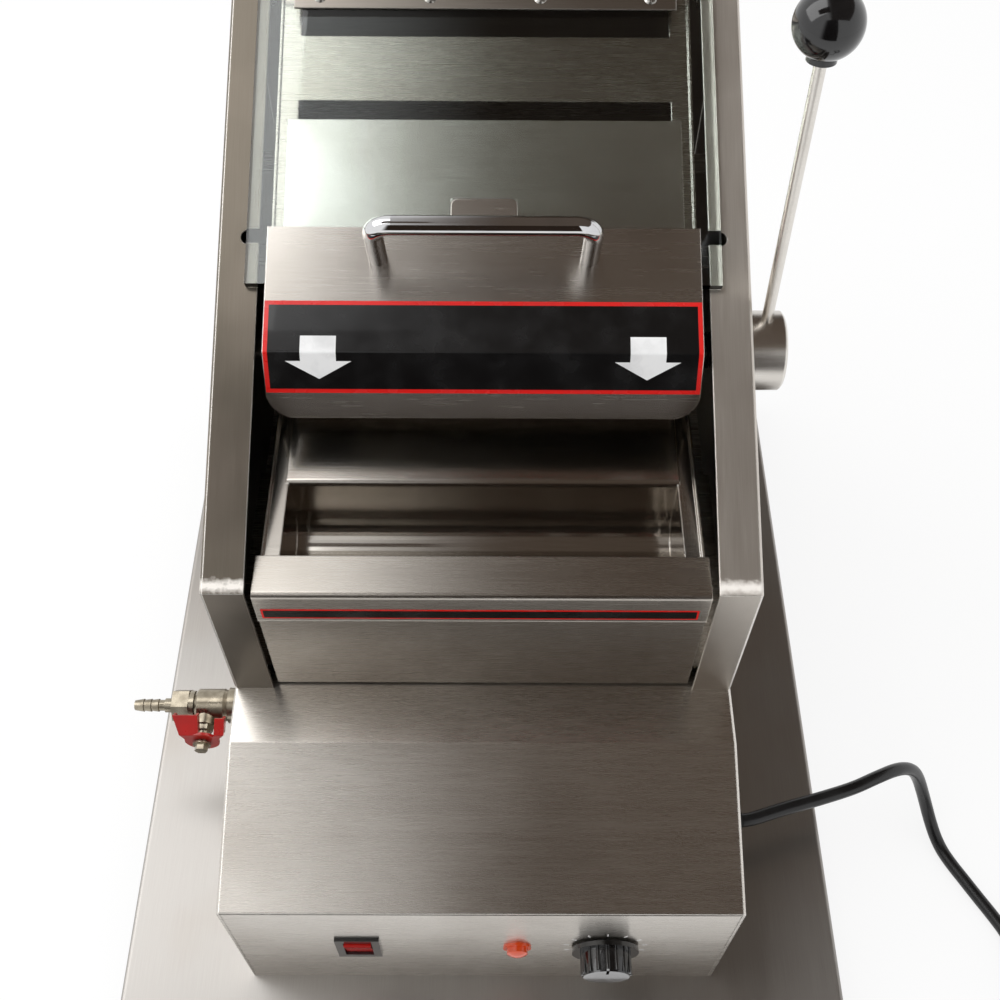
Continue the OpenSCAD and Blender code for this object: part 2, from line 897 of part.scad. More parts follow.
// The drawer's tray: trough, chute, side ledges and side walls with hemmed top edges
module drawer_tray() {
    wall = 1.5;
    len = tray_back - trough_front;
    color(steel)
        union() {
            along_x(-trough_half - tray_t, 2 * (trough_half + tray_t))
                polygon(concat(tray_face(0), reversed(tray_face(tray_t))));
            for (side = [-1, 1])
                scale([side, 1, 1]) {
                    along_x(trough_half, tray_t)
                        union() {
                            polygon(concat(trough_face(tray_t / 2), [[trough_back + tray_t / 2, ledge_z]]));
                            polygon([[trough_back + 4, ledge_z + 0.8], [tray_back, chute_z - 0.3],
                                [tray_back, ledge_z - 1], [trough_back + 4, ledge_z - 1]]);
                        }
                    translate([trough_half, trough_front, ledge_z - tray_t])
                        cube([tray_half - trough_half, len, tray_t]);
                    translate([tray_half - wall, trough_front, shelf_z + gap])
                        cube([wall, len, ledge_z + 1 - shelf_z - gap]);
                    translate([tray_half - wall, trough_front, shelf_z + gap])
                        cube([wall + 2.6, len, wall]);
                    translate([tray_half - 0.9, trough_front, ledge_z + 1])
                        rotate([-90, 0, 0])
                            cylinder(h = len, d = 2.2, $fn = 24);
                }
        }
}

// The door's clear sheet, with polished edges
module door_panel() {
    color(clear)
        on_slope(panel_low, gap)
            difference() {
                translate([-panel_w / 2, 0, 0])
                    cube([panel_w, slope_s(198) - panel_low, panel_t]);
                for (side = [-1, 1])
                    translate([side * pull_span / 2, pull_s - panel_low, -1])
                        cylinder(h = panel_t + 2, d = 4.4, $fn = 32);
                for (x = [-90, -30, 30, 90])
                    translate([x, slope_s(192) - panel_low, -1])
                        cylinder(h = panel_t + 2, d = 4.4, $fn = 32);
            }
}

// The visor's bent sheet seen end-on, from its rear edge over the fold to its lower edge
function visor_edge(r, turn, long, drop) = let (c = [visor_fold_r, sheet - visor_fold_r],
    over = arc(c, r, 90, 90 + turn, 6), foot = over[len(over) - 1] - drop * [cos(turn), sin(turn)])
    concat([[long, c[1] + r]], over, [foot]);

// Outline of the tongue at the visor's rear edge
module tongue_face() {
    w = 35;
    len = 17.3;
    r = 4;
    translate([-w / 2, 0])
        square([w, len - r]);
    translate([-w / 2 + r, 0])
        square([w - 2 * r, len]);
    for (side = [-1, 1])
        translate([side * (w / 2 - r), len - r])
            circle(r, $fn = 48);
}

// The visor: a sheet over the door panel's lower end, folded down in front of the drawer
module door_visor() {
    top_len = visor_rear - visor_crease;
    turn = visor_fall - slope_a;
    drop = visor_drop - 1;
    corner_r = 15;
    color(steel)
        difference() {
            on_slope(visor_crease, visor_low)
                union() {
                    along_x(-visor_w / 2, visor_w)
                        polygon(concat(visor_edge(visor_fold_r, turn, top_len, drop),
                            reversed(visor_edge(visor_fold_r - sheet, turn, top_len, drop))));
                    translate([0, top_len - 1, 0])
                        linear_extrude(sheet)
                            tongue_face();
                }
            on_slope(visor_crease, visor_low)
                translate([0, visor_fold_r, sheet - visor_fold_r])
                    rotate([turn, 0, 0])
                        for (side = [-1, 1])
                            scale([side, 1, 1])
                                translate([visor_w / 2 - corner_r, -drop, -5])
                                    difference() {
                                        translate([0, -1, 0])
                                            cube([corner_r + 1, corner_r + 1, 10]);
                                        translate([0, corner_r, -1])
                                            cylinder(h = 12, r = corner_r + 0.3, $fn = 96);
                                    }
            on_slope(pull_s, 0)
                for (side = [-1, 1])
                    translate([side * pull_span / 2, 0, 0])
                        cylinder(h = 20, d = 4.4, $fn = 32);
        }
}

// The chrome wire pull, bent from one rod
module door_pull() {
    r = 10;
    half = pull_span / 2;
    top = pull_h - pull_d / 2;
    color(chrome)
        on_slope(pull_s, visor_low + sheet)
            difference() {
                union() {
                    for (side = [-1, 1])
                        scale([side, 1, 1]) {
                            translate([half, 0, 0])
                                cylinder(h = top - r, d = pull_d, $fn = 48);
                            translate([half - r, 0, top - r])
                                rotate([90, 0, 0])
                                    rotate_extrude(angle = 90, $fn = 96)
                                        translate([r, 0])
                                            circle(d = pull_d, $fn = 48);
                        }
                    translate([-half + r, 0, top])
                        rotate([0, 90, 0])
                            cylinder(h = 2 * (half - r), d = pull_d, $fn = 48);
                }
                for (side = [-1, 1])
                    translate([side * half, 0, -1])
                        cylinder(h = 13, d = 4, $fn = 32);
            }
}

// Two machine screws from under the clear panel up into the pull's legs
module pull_screws() {
    color(chrome)
        on_slope(pull_s, gap)
            for (side = [-1, 1])
                translate([side * pull_span / 2, 0, 0])
                    rotate([180, 0, 0])
                        union() {
                            cylinder(h = 2.2, d1 = 8, d2 = 6, $fn = 32);
                            translate([0, 0, -16])
                                cylinder(h = 16.1, d = 4, $fn = 32);
                        }
}

// The hinge's moving leaf, screwed on the clear panel, with every second knuckle
module door_hinge_leaf() {
    low = panel_t + gap;
    color(steel)
        on_slope(0, low)
            union() {
                difference() {
                    translate([-104, slope_s(186), 0])
                        cube([208, hinge_s - slope_s(186) - leaf_clear, 1.2]);
                    for (x = [-90, -30, 30, 90])
                        translate([x, slope_s(192), -1])
                            cylinder(h = 4, d = 4.4, $fn = 32);
                }
                knuckles(0, 1);
            }
}

// Knuckles of the hinge from one end to the other, every second one
module knuckles(first, turn_in) {
    pitch = 26;
    lift = hinge_lift - panel_t - gap;
    reach = leaf_clear + 0.6;
    for (i = [first : 2 : 7])
        translate([-104 + i * pitch + 0.2, hinge_s, lift])
            rotate([0, 90, 0])
                difference() {
                    union() {
                        cylinder(h = pitch - 0.4, d = 6.4, $fn = 48);
                        translate([lift - 1.2 + (turn_in > 0 ? 0 : 1.2), turn_in > 0 ? -reach : 0, 0])
                            cube([1.2, reach, pitch - 0.4]);
                    }
                    translate([0, 0, -1])
                        cylinder(h = pitch + 2, d = 3.2, $fn = 48);
                }
}

module hinge_pin() {
    color(chrome)
        on_slope(hinge_s, hinge_lift)
            translate([-105, 0, 0])
                rotate([0, 90, 0])
                    cylinder(h = 210, d = 3.1, $fn = 48);
}

// The hinge's fixed leaf and the cross rail that carries it, between the cheeks
module hinge_rail() {
    low = panel_t + gap;
    color(steel)
        union() {
            on_slope(0, low) {
                knuckles(1, -1);
                translate([-104, hinge_s + leaf_clear, 0])
                    cube([208, rail_depth, 1.2]);
            }
            on_slope(hinge_s + leaf_clear, 0) {
                translate([-117, 0, -sheet - 0.2])
                    cube([234, rail_depth, sheet + 0.2 + low + 0.1]);
                translate([-half_w + sheet, 0, -8])
                    cube([body_w - 2 * sheet, rail_depth - 3, 8 - sheet - 0.1]);
            }
        }
}

module hinge_screws() {
    color(chrome)
        on_slope(slope_s(192), panel_t + gap + 1.2)
            for (x = [-90, -30, 30, 90])
                translate([x, 0, 0])
                    screw_head(7, 6);
}

// The inner cover: a plate with turned-down edges and a low ridge to push it by
module hopper_cover() {
    s0 = slope_s(cover_low);
    len = slope_s(cover_high) - s0;
    ridge_s = slope_s(84) - s0;
    color(steel)
        on_slope(s0, -cover_drop - sheet)
            union() {
                translate([-cover_half, 0, 0])
                    cube([2 * cover_half, len, sheet]);
                for (side = [-1, 1])
                    scale([side, 1, 1])
                        translate([cover_half - sheet, 0, -1.4])
                            cube([sheet, len, 1.5]);
                translate([-17.5, ridge_s, sheet - 0.1])
                    cube([35, sheet, 1.9]);
            }
}

// The lever's hub, turned from bar, with a broken outer edge
module lever_hub() {
    color(steel)
        difference() {
            translate([hub_x, hub_y, hub_z])
                rotate([0, 90, 0])
                    rotate_extrude($fn = 128)
                        polygon([[shaft_d / 2, 0], [hub_d / 2 - 0.6, 0], [hub_d / 2, 0.6],
                            [hub_d / 2, hub_l - 1.2], [hub_d / 2 - 1.2, hub_l], [shaft_d / 2, hub_l]]);
            at_rod()
                translate([0, 0, 8])
                    cylinder(h = 30, d = 6, $fn = 48);
            at_rod()
                rotate([150, 0, 0])
                    cylinder(h = 40, d = 5, $fn = 32);
        }
}

module at_rod() {
    translate([rod_x, hub_y, hub_z])
        rotate([-rod_lean, 0, 0])
            children();
}

module lever_rod() {
    color(steel)
        at_rod()
            translate([0, 0, 8.2])
                cylinder(h = rod_l - 12, d = 6, $fn = 48);
}

// The knob: a ball with a flat collar where the rod enters
module lever_knob() {
    color(black)
        at_rod()
            translate([0, 0, rod_l])
                difference() {
                    union() {
                        sphere(16, $fn = 96);
                        translate([0, 0, -17])
                            cylinder(h = 8, d = 14, $fn = 64);
                    }
                    translate([0, 0, -20])
                        cylinder(h = 17, d = 6, $fn = 48);
                }
}

module hub_set_screw() {
    color(black)
        at_rod()
            rotate([150, 0, 0])
                translate([0, 0, 8.5])
                    difference() {
                        cylinder(h = 8, d = 5, $fn = 32);
                        translate([0, 0, 6])
                            cylinder(h = 4, d = 2.6, $fn = 6);
                    }
}

// The shaft from the left bush through the rotor to the hub
module rotor_shaft() {
    color(steel)
        translate([-half_w - 3, hub_y, hub_z])
            rotate([0, 90, 0])
                cylinder(h = hub_x + hub_l + half_w + 3, d = shaft_d, $fn = 64);
}

// The rotor that lets one sausage out at a time: a drum with a long pocket
module dispensing_rotor() {
    pocket_r = 12;
    color(steel_dark)
        translate([0, hub_y, hub_z])
            difference() {
                translate([-rotor_half, 0, 0])
                    rotate([0, 90, 0])
                        cylinder(h = 2 * rotor_half, r = rotor_r, $fn = 96);
                rotate([-40, 0, 0])
                    translate([-rotor_half + 5, 0, rotor_r + 1.5])
                        rotate([0, 90, 0])
                            cylinder(h = 2 * rotor_half - 10, r = pocket_r, $fn = 64);
                translate([-rotor_half - 1, 0, 0])
                    rotate([0, 90, 0])
                        cylinder(h = 2 * rotor_half + 2, d = shaft_d, $fn = 64);
            }
}

// The coil spring on the shaft that brings the lever back, as one unbroken winding
module return_spring() {
    turns = 7;
    steps = 8;
    wire = 1.8;
    r = 9;
    len = 15;
    color(steel_dark)
        translate([118, hub_y, hub_z])
            swept([for (i = [0 : turns * steps])
                let (a = i * 360 / steps) [i * len / (turns * steps), r * cos(a), r * sin(a)]],
                wire, 6);
}

// The frame of the rocker switch
module switch_bezel() {
    color(black)
        translate([switch_x, cab_front, panel_mid])
            difference() {
                union() {
                    translate([-12.5, -2, -16])
                        cube([25, 2, 32]);
                    translate([-10.4, -0.1, -13.9])
                        cube([20.8, 18, 27.8]);
                }
                translate([-8, -3, -11.5])
                    cube([16, 12, 23]);
            }
}

// The rocker, its two faces tipped about a pin across the frame
module switch_rocker() {
    color(red)
        translate([switch_x, cab_front - 1, panel_mid])
            along_x(-7.6, 15.2)
                union() {
                    polygon([[-2.6, 9.8], [-0.6, 0], [0.6, -10.6], [4, -10.4], [5, 0], [4, 9.8]]);
                    translate([4, 0])
                        circle(3, $fn = 32);
                }
}

// The thermostat's knob: a skirted dial with a ribbed grip
module thermostat_knob() {
    ribs = 16;
    color(black)
        translate([knob_x, cab_front - 1.5, panel_mid])
            rotate([90, 0, 0])
                difference() {
                    union() {
                        cylinder(h = 2.5, d = 38, $fn = 96);
                        translate([0, 0, 2.4])
                            cylinder(h = 13, d1 = 28, d2 = 26, $fn = 96);
                        for (i = [0 : ribs - 1])
                            rotate([0, 0, i * 360 / ribs])
                                translate([13.2, 0, 2.4])
                                    cylinder(h = 12, d = 2.6, $fn = 24);
                    }
                    translate([0, 0, -1])
                        cylinder(h = 12.2, d = 6.1, $fn = 48);
                    translate([-0.8, 6, 14.4])
                        cube([1.6, 8, 2]);
                }
}

module pilot_lamp() {
    color([0.85, 0.25, 0.12])
        translate([lamp_x, cab_front, panel_mid])
            rotate([90, 0, 0])
                union() {
                    translate([0, 0, -20])
                        cylinder(h = 20.1, d = 12, $fn = 48);
                    cylinder(h = 1.5, d = 16, $fn = 48);
                    translate([0, 0, 1.4])
                        intersection() {
                            cylinder(h = 6, d = 12, $fn = 48);
                            translate([0, 0, -5])
                                sphere(10, $fn = 48);
                        }
                }
}

// The strain relief: a flange outside the wall, a tapered ribbed sleeve and a locking collar inside
module cord_gland() {
    color(black)
        translate([half_w, gland_y, gland_z])
            rotate([0, 90, 0])
                rotate_extrude($fn = 64)
                    polygon([[cord_d / 2, -8], [9.4, -8], [9.4, -2], [7.9, -2], [7.9, 0], [10.5, 0],
                        [10.5, 2.5], [7.6, 3], [7.2, 7], [6.6, 7.4], [6.6, 9], [7, 9.4], [6.6, 13],
                        [6, 13.4], [6, 15], [6.4, 15.4], [5.8, 20], [cord_d / 2, 20]]);
}

// Round numbers to a centre line: points of one smooth line through the route
function between(p, i, t) = let (
    n = len(p), a = p[max(i - 1, 0)], b = p[i], c = p[min(i + 1, n - 1)], d = p[min(i + 2, n - 1)])
    0.5 * (2 * b + (c - a) * t + (2 * a - 5 * b + 4 * c - d) * t * t
        + (3 * b - a - 3 * c + d) * t * t * t);
function smooth(p, n) = [for (i = [0 : len(p) - 2]) for (k = [0 : n - 1]) between(p, i, k / n),
    p[len(p) - 1]];
function unit(v) = v / norm(v);
function heading(p, i) = unit(p[min(i + 1, len(p) - 1)] - p[max(i - 1, 0)]);
function flat_side(h, up) = unit(cross(h, up));
function ring(p, i, d, n, up) = let (h = heading(p, i), side = flat_side(h, up), top = cross(side, h))
    [for (k = [0 : n - 1]) let (a = 360 * (k + 0.5) / n) p[i] + d / 2 * (cos(a) * side + sin(a) * top)];

// A tube of n sides along the points p, closed at both ends
module swept(p, d, n, up = [0.02, 0.01, 1]) {
    rings = [for (i = [0 : len(p) - 1]) each ring(p, i, d, n, up)];
    last = (len(p) - 1) * n;
    sides = [for (i = [0 : len(p) - 2]) for (k = [0 : n - 1]) let (a = i * n + k, b = i * n + (k + 1) % n)
        each [[a, b, b + n], [a, b + n, a + n]]];
    lids = [for (k = [1 : n - 2]) each [[0, k + 1, k], [last, last + k, last + k + 1]]];
    polyhedron(points = rings, faces = concat(sides, lids));
}

// The coil's centre line: in by one pitch a turn on the table, then out again one layer up
coil_x = coil_start[0] + coil_r;
coil_steps = coil_loops * coil_rings;
function coil_radius(i) = coil_r - min(i, coil_steps - i) / coil_rings * coil_pitch;
function coil_lift(i) = coil_climb * max(0, min(1, (i - coil_steps / 2) / (coil_rings / 2) + 0.5));
function coil_point(i) = let (a = 180 + i * 360 / coil_rings, r = coil_radius(i))
    [coil_x + r * cos(a), coil_start[1] + r * sin(a), cord_d / 2 + coil_lift(i)];
coil_turns = [for (i = [0 : coil_steps]) coil_point(i)];
coil_line = concat([cord_route[len(cord_route) - 1]], coil_turns, coil_tail);
function route_length(p) = len(p) < 2 ? 0 : sum_steps(p, 1, 0);
function sum_steps(p, i, total) = i == len(p) ? total : sum_steps(p, i + 1, total + norm(p[i] - p[i - 1]));
// Least gap of the coil to itself, over points at least half a turn apart
coil_gap = min([for (i = [0 : coil_steps]) for (j = [i + coil_rings / 2 : coil_steps])
    norm(coil_turns[i] - coil_turns[j])]) - cord_d;

module cord() {
    color(black)
        swept(smooth(cord_route, 3), cord_d, 8);
}

module cord_coil() {
    echo(coil_gap = coil_gap, free_length = route_length(smooth(cord_route, 3)),
        coil_length = route_length(coil_line));
    color(black)
        swept(coil_line, cord_d, 6);
}

module at_plug() {
    end = coil_tail[len(coil_tail) - 1];
    translate(end)
        rotate([90, 0, 0])
            children();
}

// The moulded plug: a ribbed sleeve, then a body with round edges
module plug() {
    sleeve = 24;
    body = 30;
    color(black)
        at_plug()
            difference() {
                union() {
                    rotate_extrude($fn = 64)
                        polygon([[0, 0], [5.6, 0], [5.9, 4], [5.3, 4.6], [5.3, 6], [6.3, 6.6],
                            [6.7, 10], [6, 10.6], [6, 12], [7.2, 12.6], [8, 17], [7.2, 17.6],
                            [7.2, 19], [9, sleeve], [0, sleeve]]);
                    translate([0, 0, sleeve - 0.1])
                        linear_extrude(body)
                            union() {
                                for (side = [-1, 1])
                                    translate([side * 5, 0])
                                        circle(plug_axis, $fn = 96);
                                square([10, 2 * plug_axis], center = true);
                            }
                }
                plug_blade_places(0.2);
            }
}

module plug_blade_places(room) {
    face = 54;
    for (side = [-1, 1])
        translate([-5 - 3.2 - room / 2, side * 6.35 - 0.75 - room / 2, face - 10])
            cube([6.4 + room, 1.5 + room, room > 0 ? 20 : 27]);
    translate([6.9, 0, face - 10])
        cylinder(h = room > 0 ? 20 : 30, d = 4.8 + room, $fn = 48);
}

// Two flat blades and a round earth pin
module plug_blades() {
    color(brass)
        at_plug()
            plug_blade_places(0);
}

base_pan();
rubber_feet();
foot_screws();
cabinet_shell();
front_panel();
rear_panel();
rear_screws();
left_cheek();
right_cheek();
tower_back();
hopper_liner();
hopper_floor();
shaft_bushes();
drawer_runners();
water_tank();
tank_lid();
heating_element();
steam_duct();
thermostat();
drain_pipe();
valve_body();
valve_barb();
valve_stem();
valve_handle();
valve_bolt();
drawer_front();
drawer_tray();
door_panel();
door_visor();
door_pull();
pull_screws();
door_hinge_leaf();
hinge_pin();
hinge_rail();
hinge_screws();
hopper_cover();
lever_hub();
lever_rod();
lever_knob();
hub_set_screw();
rotor_shaft();
dispensing_rotor();
return_spring();
switch_bezel();
switch_rocker();
thermostat_knob();
pilot_lamp();
cord_gland();
cord();
cord_coil();
plug();
plug_blades();
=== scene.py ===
import math

import bpy
import bmesh
from mathutils import Matrix, Vector


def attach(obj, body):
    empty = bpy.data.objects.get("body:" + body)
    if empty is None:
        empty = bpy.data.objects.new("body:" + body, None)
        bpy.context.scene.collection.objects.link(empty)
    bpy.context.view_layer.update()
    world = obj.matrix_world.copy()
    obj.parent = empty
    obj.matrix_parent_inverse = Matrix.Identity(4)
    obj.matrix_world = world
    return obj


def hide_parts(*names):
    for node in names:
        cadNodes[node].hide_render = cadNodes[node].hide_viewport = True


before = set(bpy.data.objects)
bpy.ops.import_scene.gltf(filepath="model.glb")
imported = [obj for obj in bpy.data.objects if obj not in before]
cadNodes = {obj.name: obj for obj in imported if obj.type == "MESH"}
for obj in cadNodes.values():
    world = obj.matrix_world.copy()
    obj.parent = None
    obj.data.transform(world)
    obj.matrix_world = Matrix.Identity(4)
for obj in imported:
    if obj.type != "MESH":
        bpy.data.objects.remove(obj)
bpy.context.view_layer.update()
scene = bpy.context.scene


def toLinear(hexColour):  # sRGB hex to the linear colour that the shaders take
    parts = [int(hexColour[i:i + 2], 16) / 255 for i in (1, 3, 5)]
    return [p / 12.92 if p <= 0.04045 else ((p + 0.055) / 1.055) ** 2.4 for p in parts] + [1.0]


def addNode(tree, kind, inputs=None, **settings):  # inputs: socket -> value, or (node, output) to link
    node = tree.nodes.new(kind)
    for key, value in settings.items():
        setattr(node, key, value)
    for key, value in (inputs or {}).items():
        if isinstance(value, tuple) and isinstance(value[0], bpy.types.Node):
            tree.links.new(value[0].outputs[value[1]], node.inputs[key])
        else:
            node.inputs[key].default_value = value
    return node


def meshObject(name, bm, material, body):  # a finished piece at the origin, riding a body
    bmesh.ops.remove_doubles(bm, verts=bm.verts, dist=1e-6)
    bmesh.ops.recalc_face_normals(bm, faces=bm.faces)
    mesh = bpy.data.meshes.new(name)
    bm.to_mesh(mesh)
    bm.free()
    mesh.materials.append(material)
    piece = bpy.data.objects.new(name, mesh)
    scene.collection.objects.link(piece)
    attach(piece, body)
    return piece


cameraView = {
    "place": (0.0062, -0.4173, 0.8346),
    "lens": 44.45,
    "sensor": 36,
    "pitch": 55.458,  # degrees below the horizon
    "yaw": 0.4285,
    "roll": -0.590,
}


def makeCamera(c):
    pitch, yaw, roll = (math.radians(c[k]) for k in ("pitch", "yaw", "roll"))
    ahead = Vector((math.sin(yaw), math.cos(yaw), 0))
    right = Vector((math.cos(yaw), -math.sin(yaw), 0))
    up = Vector((0, 0, 1))
    forward = ahead * math.cos(pitch) - up * math.sin(pitch)
    down = -(up * math.cos(pitch) + ahead * math.sin(pitch))
    axisX = right * math.cos(roll) + down * math.sin(roll)
    axisY = right * math.sin(roll) - down * math.cos(roll)
    camera = bpy.data.objects.new("camera", bpy.data.cameras.new("camera"))
    camera.data.lens = c["lens"]
    camera.data.sensor_width = c["sensor"]
    camera.data.clip_start = 0.01
    turn = Matrix((axisX, axisY, -forward)).transposed()
    camera.matrix_world = Matrix.Translation(c["place"]) @ turn.to_4x4()
    scene.collection.objects.link(camera)
    scene.camera = camera


makeCamera(cameraView)
scene.view_settings.view_transform = "Standard"
print("camera set")


steelFinish = {
    "grainWidth": 0.0005,  # a real scratch is near 0.1 mm wide; drawn at 0.5 mm so that it shows
    "grainLength": 0.030,
    "grainDepth": 0.0003,
    "bandWidth": 0.009,  # passes of the belt
    "bandShare": 0.25,
    "roughBelow": 0.02,
    "roughAbove": 0.03,
    "stretch": 0.7,  # how far the grain smears a reflection across itself
    "cloudSize": 0.11,  # handling haze
    "cloudFrom": 0.5,
    "cloudFull": 0.72,
    "cloudMost": 0.4,
    "cloudTone": "#9C9186",
    "edgeRadius": 0.0009,  # folded and deburred edges are softened by about this much
    "edgeFrom": 0.998,  # cosine of the lean at which the painted edge highlight starts
    "edgeFull": 0.93,
    "edgeMost": 0.8,
    "edgeHighlightTone": "#FBF8F2",
    "groundTone": "#F4EFE8",
    "groundMost": 0.9,
    "groundRough": 0.5,
    "groundMetal": 0.2,
    "groundWave": 420.0,
}


def brushedMetal(name, light, dark, roughness, grain="X", turn=0.0, bump=0.007, mark=None):
    # rolled stainless sheet, brushed with an abrasive belt: fine lines that smear each reflection across them
    material = bpy.data.materials.new(name)
    material.use_nodes = True
    tree = material.node_tree
    shader = tree.nodes["Principled BSDF"]
    f = steelFinish
    across, along = 1 / f["grainWidth"], 1 / f["grainLength"]
    fine = {"X": (along, across, across), "Y": (across, along, across), "Z": (across, across, along)}[grain]
    band = [v * f["grainWidth"] / f["bandWidth"] for v in fine]
    where = addNode(tree, "ShaderNodeTexCoord")
    turned = addNode(tree, "ShaderNodeMapping", {
        "Vector": (where, "Object"), "Rotation": (math.radians(turn), 0, 0)})
    fineMap = addNode(tree, "ShaderNodeMapping", {"Vector": (turned, "Vector"), "Scale": fine})
    bandMap = addNode(tree, "ShaderNodeMapping", {"Vector": (turned, "Vector"), "Scale": band})
    fineNoise = addNode(tree, "ShaderNodeTexNoise", {
        "Vector": (fineMap, "Vector"), "Scale": 1.0, "Detail": 1.5, "Roughness": 0.6})
    bandNoise = addNode(tree, "ShaderNodeTexNoise", {
        "Vector": (bandMap, "Vector"), "Scale": 1.0, "Detail": 1.0})
    cloudNoise = addNode(tree, "ShaderNodeTexNoise", {
        "Vector": (where, "Object"), "Scale": 1 / f["cloudSize"], "Detail": 3.0})
    both = addNode(tree, "ShaderNodeMix", {
        "Factor": f["bandShare"], "A": (fineNoise, "Fac"), "B": (bandNoise, "Fac")})
    ramp = addNode(tree, "ShaderNodeValToRGB", {"Fac": (both, "Result")})
    for stop, place, tint in zip(ramp.color_ramp.elements, (0.1, 0.9), (dark, light)):
        stop.position, stop.color = place, toLinear(tint)
    warm = addNode(tree, "ShaderNodeMapRange", {
        "Value": (cloudNoise, "Fac"), "From Min": f["cloudFrom"], "From Max": f["cloudFull"],
        "To Max": f["cloudMost"]})
    tone = addNode(tree, "ShaderNodeMix", {
        "Factor": (warm, "Result"), 6: (ramp, "Color"), 7: toLinear(f["cloudTone"])}, data_type="RGBA")
    rough = addNode(tree, "ShaderNodeMapRange", {
        "Value": (both, "Result"), "From Min": 0.3, "From Max": 0.7, "To Min": roughness - f["roughBelow"],
        "To Max": roughness + f["roughAbove"]})
    softened = addNode(tree, "ShaderNodeBevel", {"Radius": f["edgeRadius"]}, samples=4)
    relief = addNode(tree, "ShaderNodeBump", {
        "Height": (fineNoise, "Fac"), "Strength": bump, "Distance": f["grainDepth"],
        "Normal": (softened, "Normal")})
    tree.links.new(relief.outputs["Normal"], shader.inputs["Normal"])
    surface = addNode(tree, "ShaderNodeNewGeometry")
    straight = addNode(tree, "ShaderNodeVectorMath", {
        0: (softened, "Normal"), 1: (surface, "Normal")}, operation="DOT_PRODUCT")
    # painted highlight: the colour turns pale where the softened normal leans away, along convex edges and
    # folds
    edge = addNode(tree, "ShaderNodeMapRange", {
        "Value": (straight, "Value"), "From Min": f["edgeFrom"], "From Max": f["edgeFull"], "To Min": 0.0,
        "To Max": f["edgeMost"]})
    tone = addNode(tree, "ShaderNodeMix", {
        "Factor": (edge, "Result"), 6: (tone, 2), 7: toLinear(f["edgeHighlightTone"])}, data_type="RGBA")
    colour, roughOut = (tone, 2), (rough, "Result")
    if mark:  # hand-ground stripe across the bends: (y, z, half width), brighter and coarser
        bendY, bendZ, half = mark
        split = addNode(tree, "ShaderNodeSeparateXYZ", {"Vector": (where, "Object")})
        offY = addNode(tree, "ShaderNodeMath", {0: (split, "Y"), 1: bendY}, operation="SUBTRACT")
        offZ = addNode(tree, "ShaderNodeMath", {0: (split, "Z"), 1: bendZ}, operation="SUBTRACT")
        squareY = addNode(tree, "ShaderNodeMath", {
            0: (offY, "Value"), 1: (offY, "Value")}, operation="MULTIPLY")
        squareZ = addNode(tree, "ShaderNodeMath", {
            0: (offZ, "Value"), 1: (offZ, "Value")}, operation="MULTIPLY")
        total = addNode(tree, "ShaderNodeMath", {
            0: (squareY, "Value"), 1: (squareZ, "Value")}, operation="ADD")
        distance = addNode(tree, "ShaderNodeMath", {0: (total, "Value")}, operation="SQRT")
        ragged = addNode(tree, "ShaderNodeTexNoise", {
            "Vector": (where, "Object"), "Scale": f["groundWave"], "Detail": 3.0})
        wobble = addNode(tree, "ShaderNodeMath", {
            0: (ragged, "Fac"), 1: half * 1.4, 2: (distance, "Value")}, operation="MULTIPLY_ADD")
        near = addNode(tree, "ShaderNodeMapRange", {
            "Value": (wobble, "Value"), "From Min": half * 0.9, "From Max": half * 1.9,
            "To Min": f["groundMost"], "To Max": 0.0})
        ground = addNode(tree, "ShaderNodeMix", {
            "Factor": (near, "Result"), 6: (tone, 2), 7: toLinear(f["groundTone"])}, data_type="RGBA")
        groundRough = addNode(tree, "ShaderNodeMix", {
            "Factor": (near, "Result"), "A": (rough, "Result"), "B": f["groundRough"]})
        bare = addNode(tree, "ShaderNodeMapRange", {
            "Value": (near, "Result"), "From Max": f["groundMost"], "To Min": 1.0,
            "To Max": f["groundMetal"]})
        colour, roughOut = (ground, 2), (groundRough, "Result")
        tree.links.new(bare.outputs["Result"], shader.inputs["Metallic"])
    else:
        shader.inputs["Metallic"].default_value = 1.0
    tree.links.new(colour[0].outputs[colour[1]], shader.inputs["Base Color"])
    tree.links.new(roughOut[0].outputs[roughOut[1]], shader.inputs["Roughness"])
    shader.inputs["Anisotropic"].default_value = f["stretch"]
    # the sheen is drawn out across the grain
    crosswise = {"X": (0.0, 1.0, 1.0), "Y": (1.0, 0.0, 0.25), "Z": (1.0, 0.3, 0.0)}[grain]
    side = addNode(tree, "ShaderNodeCombineXYZ", dict(zip("XYZ", crosswise)))
    tree.links.new(side.outputs["Vector"], shader.inputs["Tangent"])
    return material


def plainMetal(name, base, spot, roughness, spotSize, bump=0.018):
    # plated, turned or polished metal: an even tone with faint handling marks that break the gloss
    material = bpy.data.materials.new(name)
    material.use_nodes = True
    tree = material.node_tree
    shader = tree.nodes["Principled BSDF"]
    where = addNode(tree, "ShaderNodeTexCoord")
    marks = addNode(tree, "ShaderNodeTexNoise", {
        "Vector": (where, "Object"), "Scale": 1 / spotSize, "Detail": 4.0})
    ramp = addNode(tree, "ShaderNodeValToRGB", {"Fac": (marks, "Fac")})
    for stop, place, tint in zip(ramp.color_ramp.elements, (0.4, 0.75), (base, spot)):
        stop.position, stop.color = place, toLinear(tint)
    rough = addNode(tree, "ShaderNodeMapRange", {
        "Value": (marks, "Fac"), "From Min": 0.3, "From Max": 0.8, "To Min": roughness,
        "To Max": roughness + 0.1})
    relief = addNode(tree, "ShaderNodeBump", {"Height": (marks, "Fac"), "Strength": bump, "Distance": 0.0002})
    tree.links.new(ramp.outputs["Color"], shader.inputs["Base Color"])
    tree.links.new(rough.outputs["Result"], shader.inputs["Roughness"])
    tree.links.new(relief.outputs["Normal"], shader.inputs["Normal"])
    shader.inputs["Metallic"].default_value = 1.0
    return material


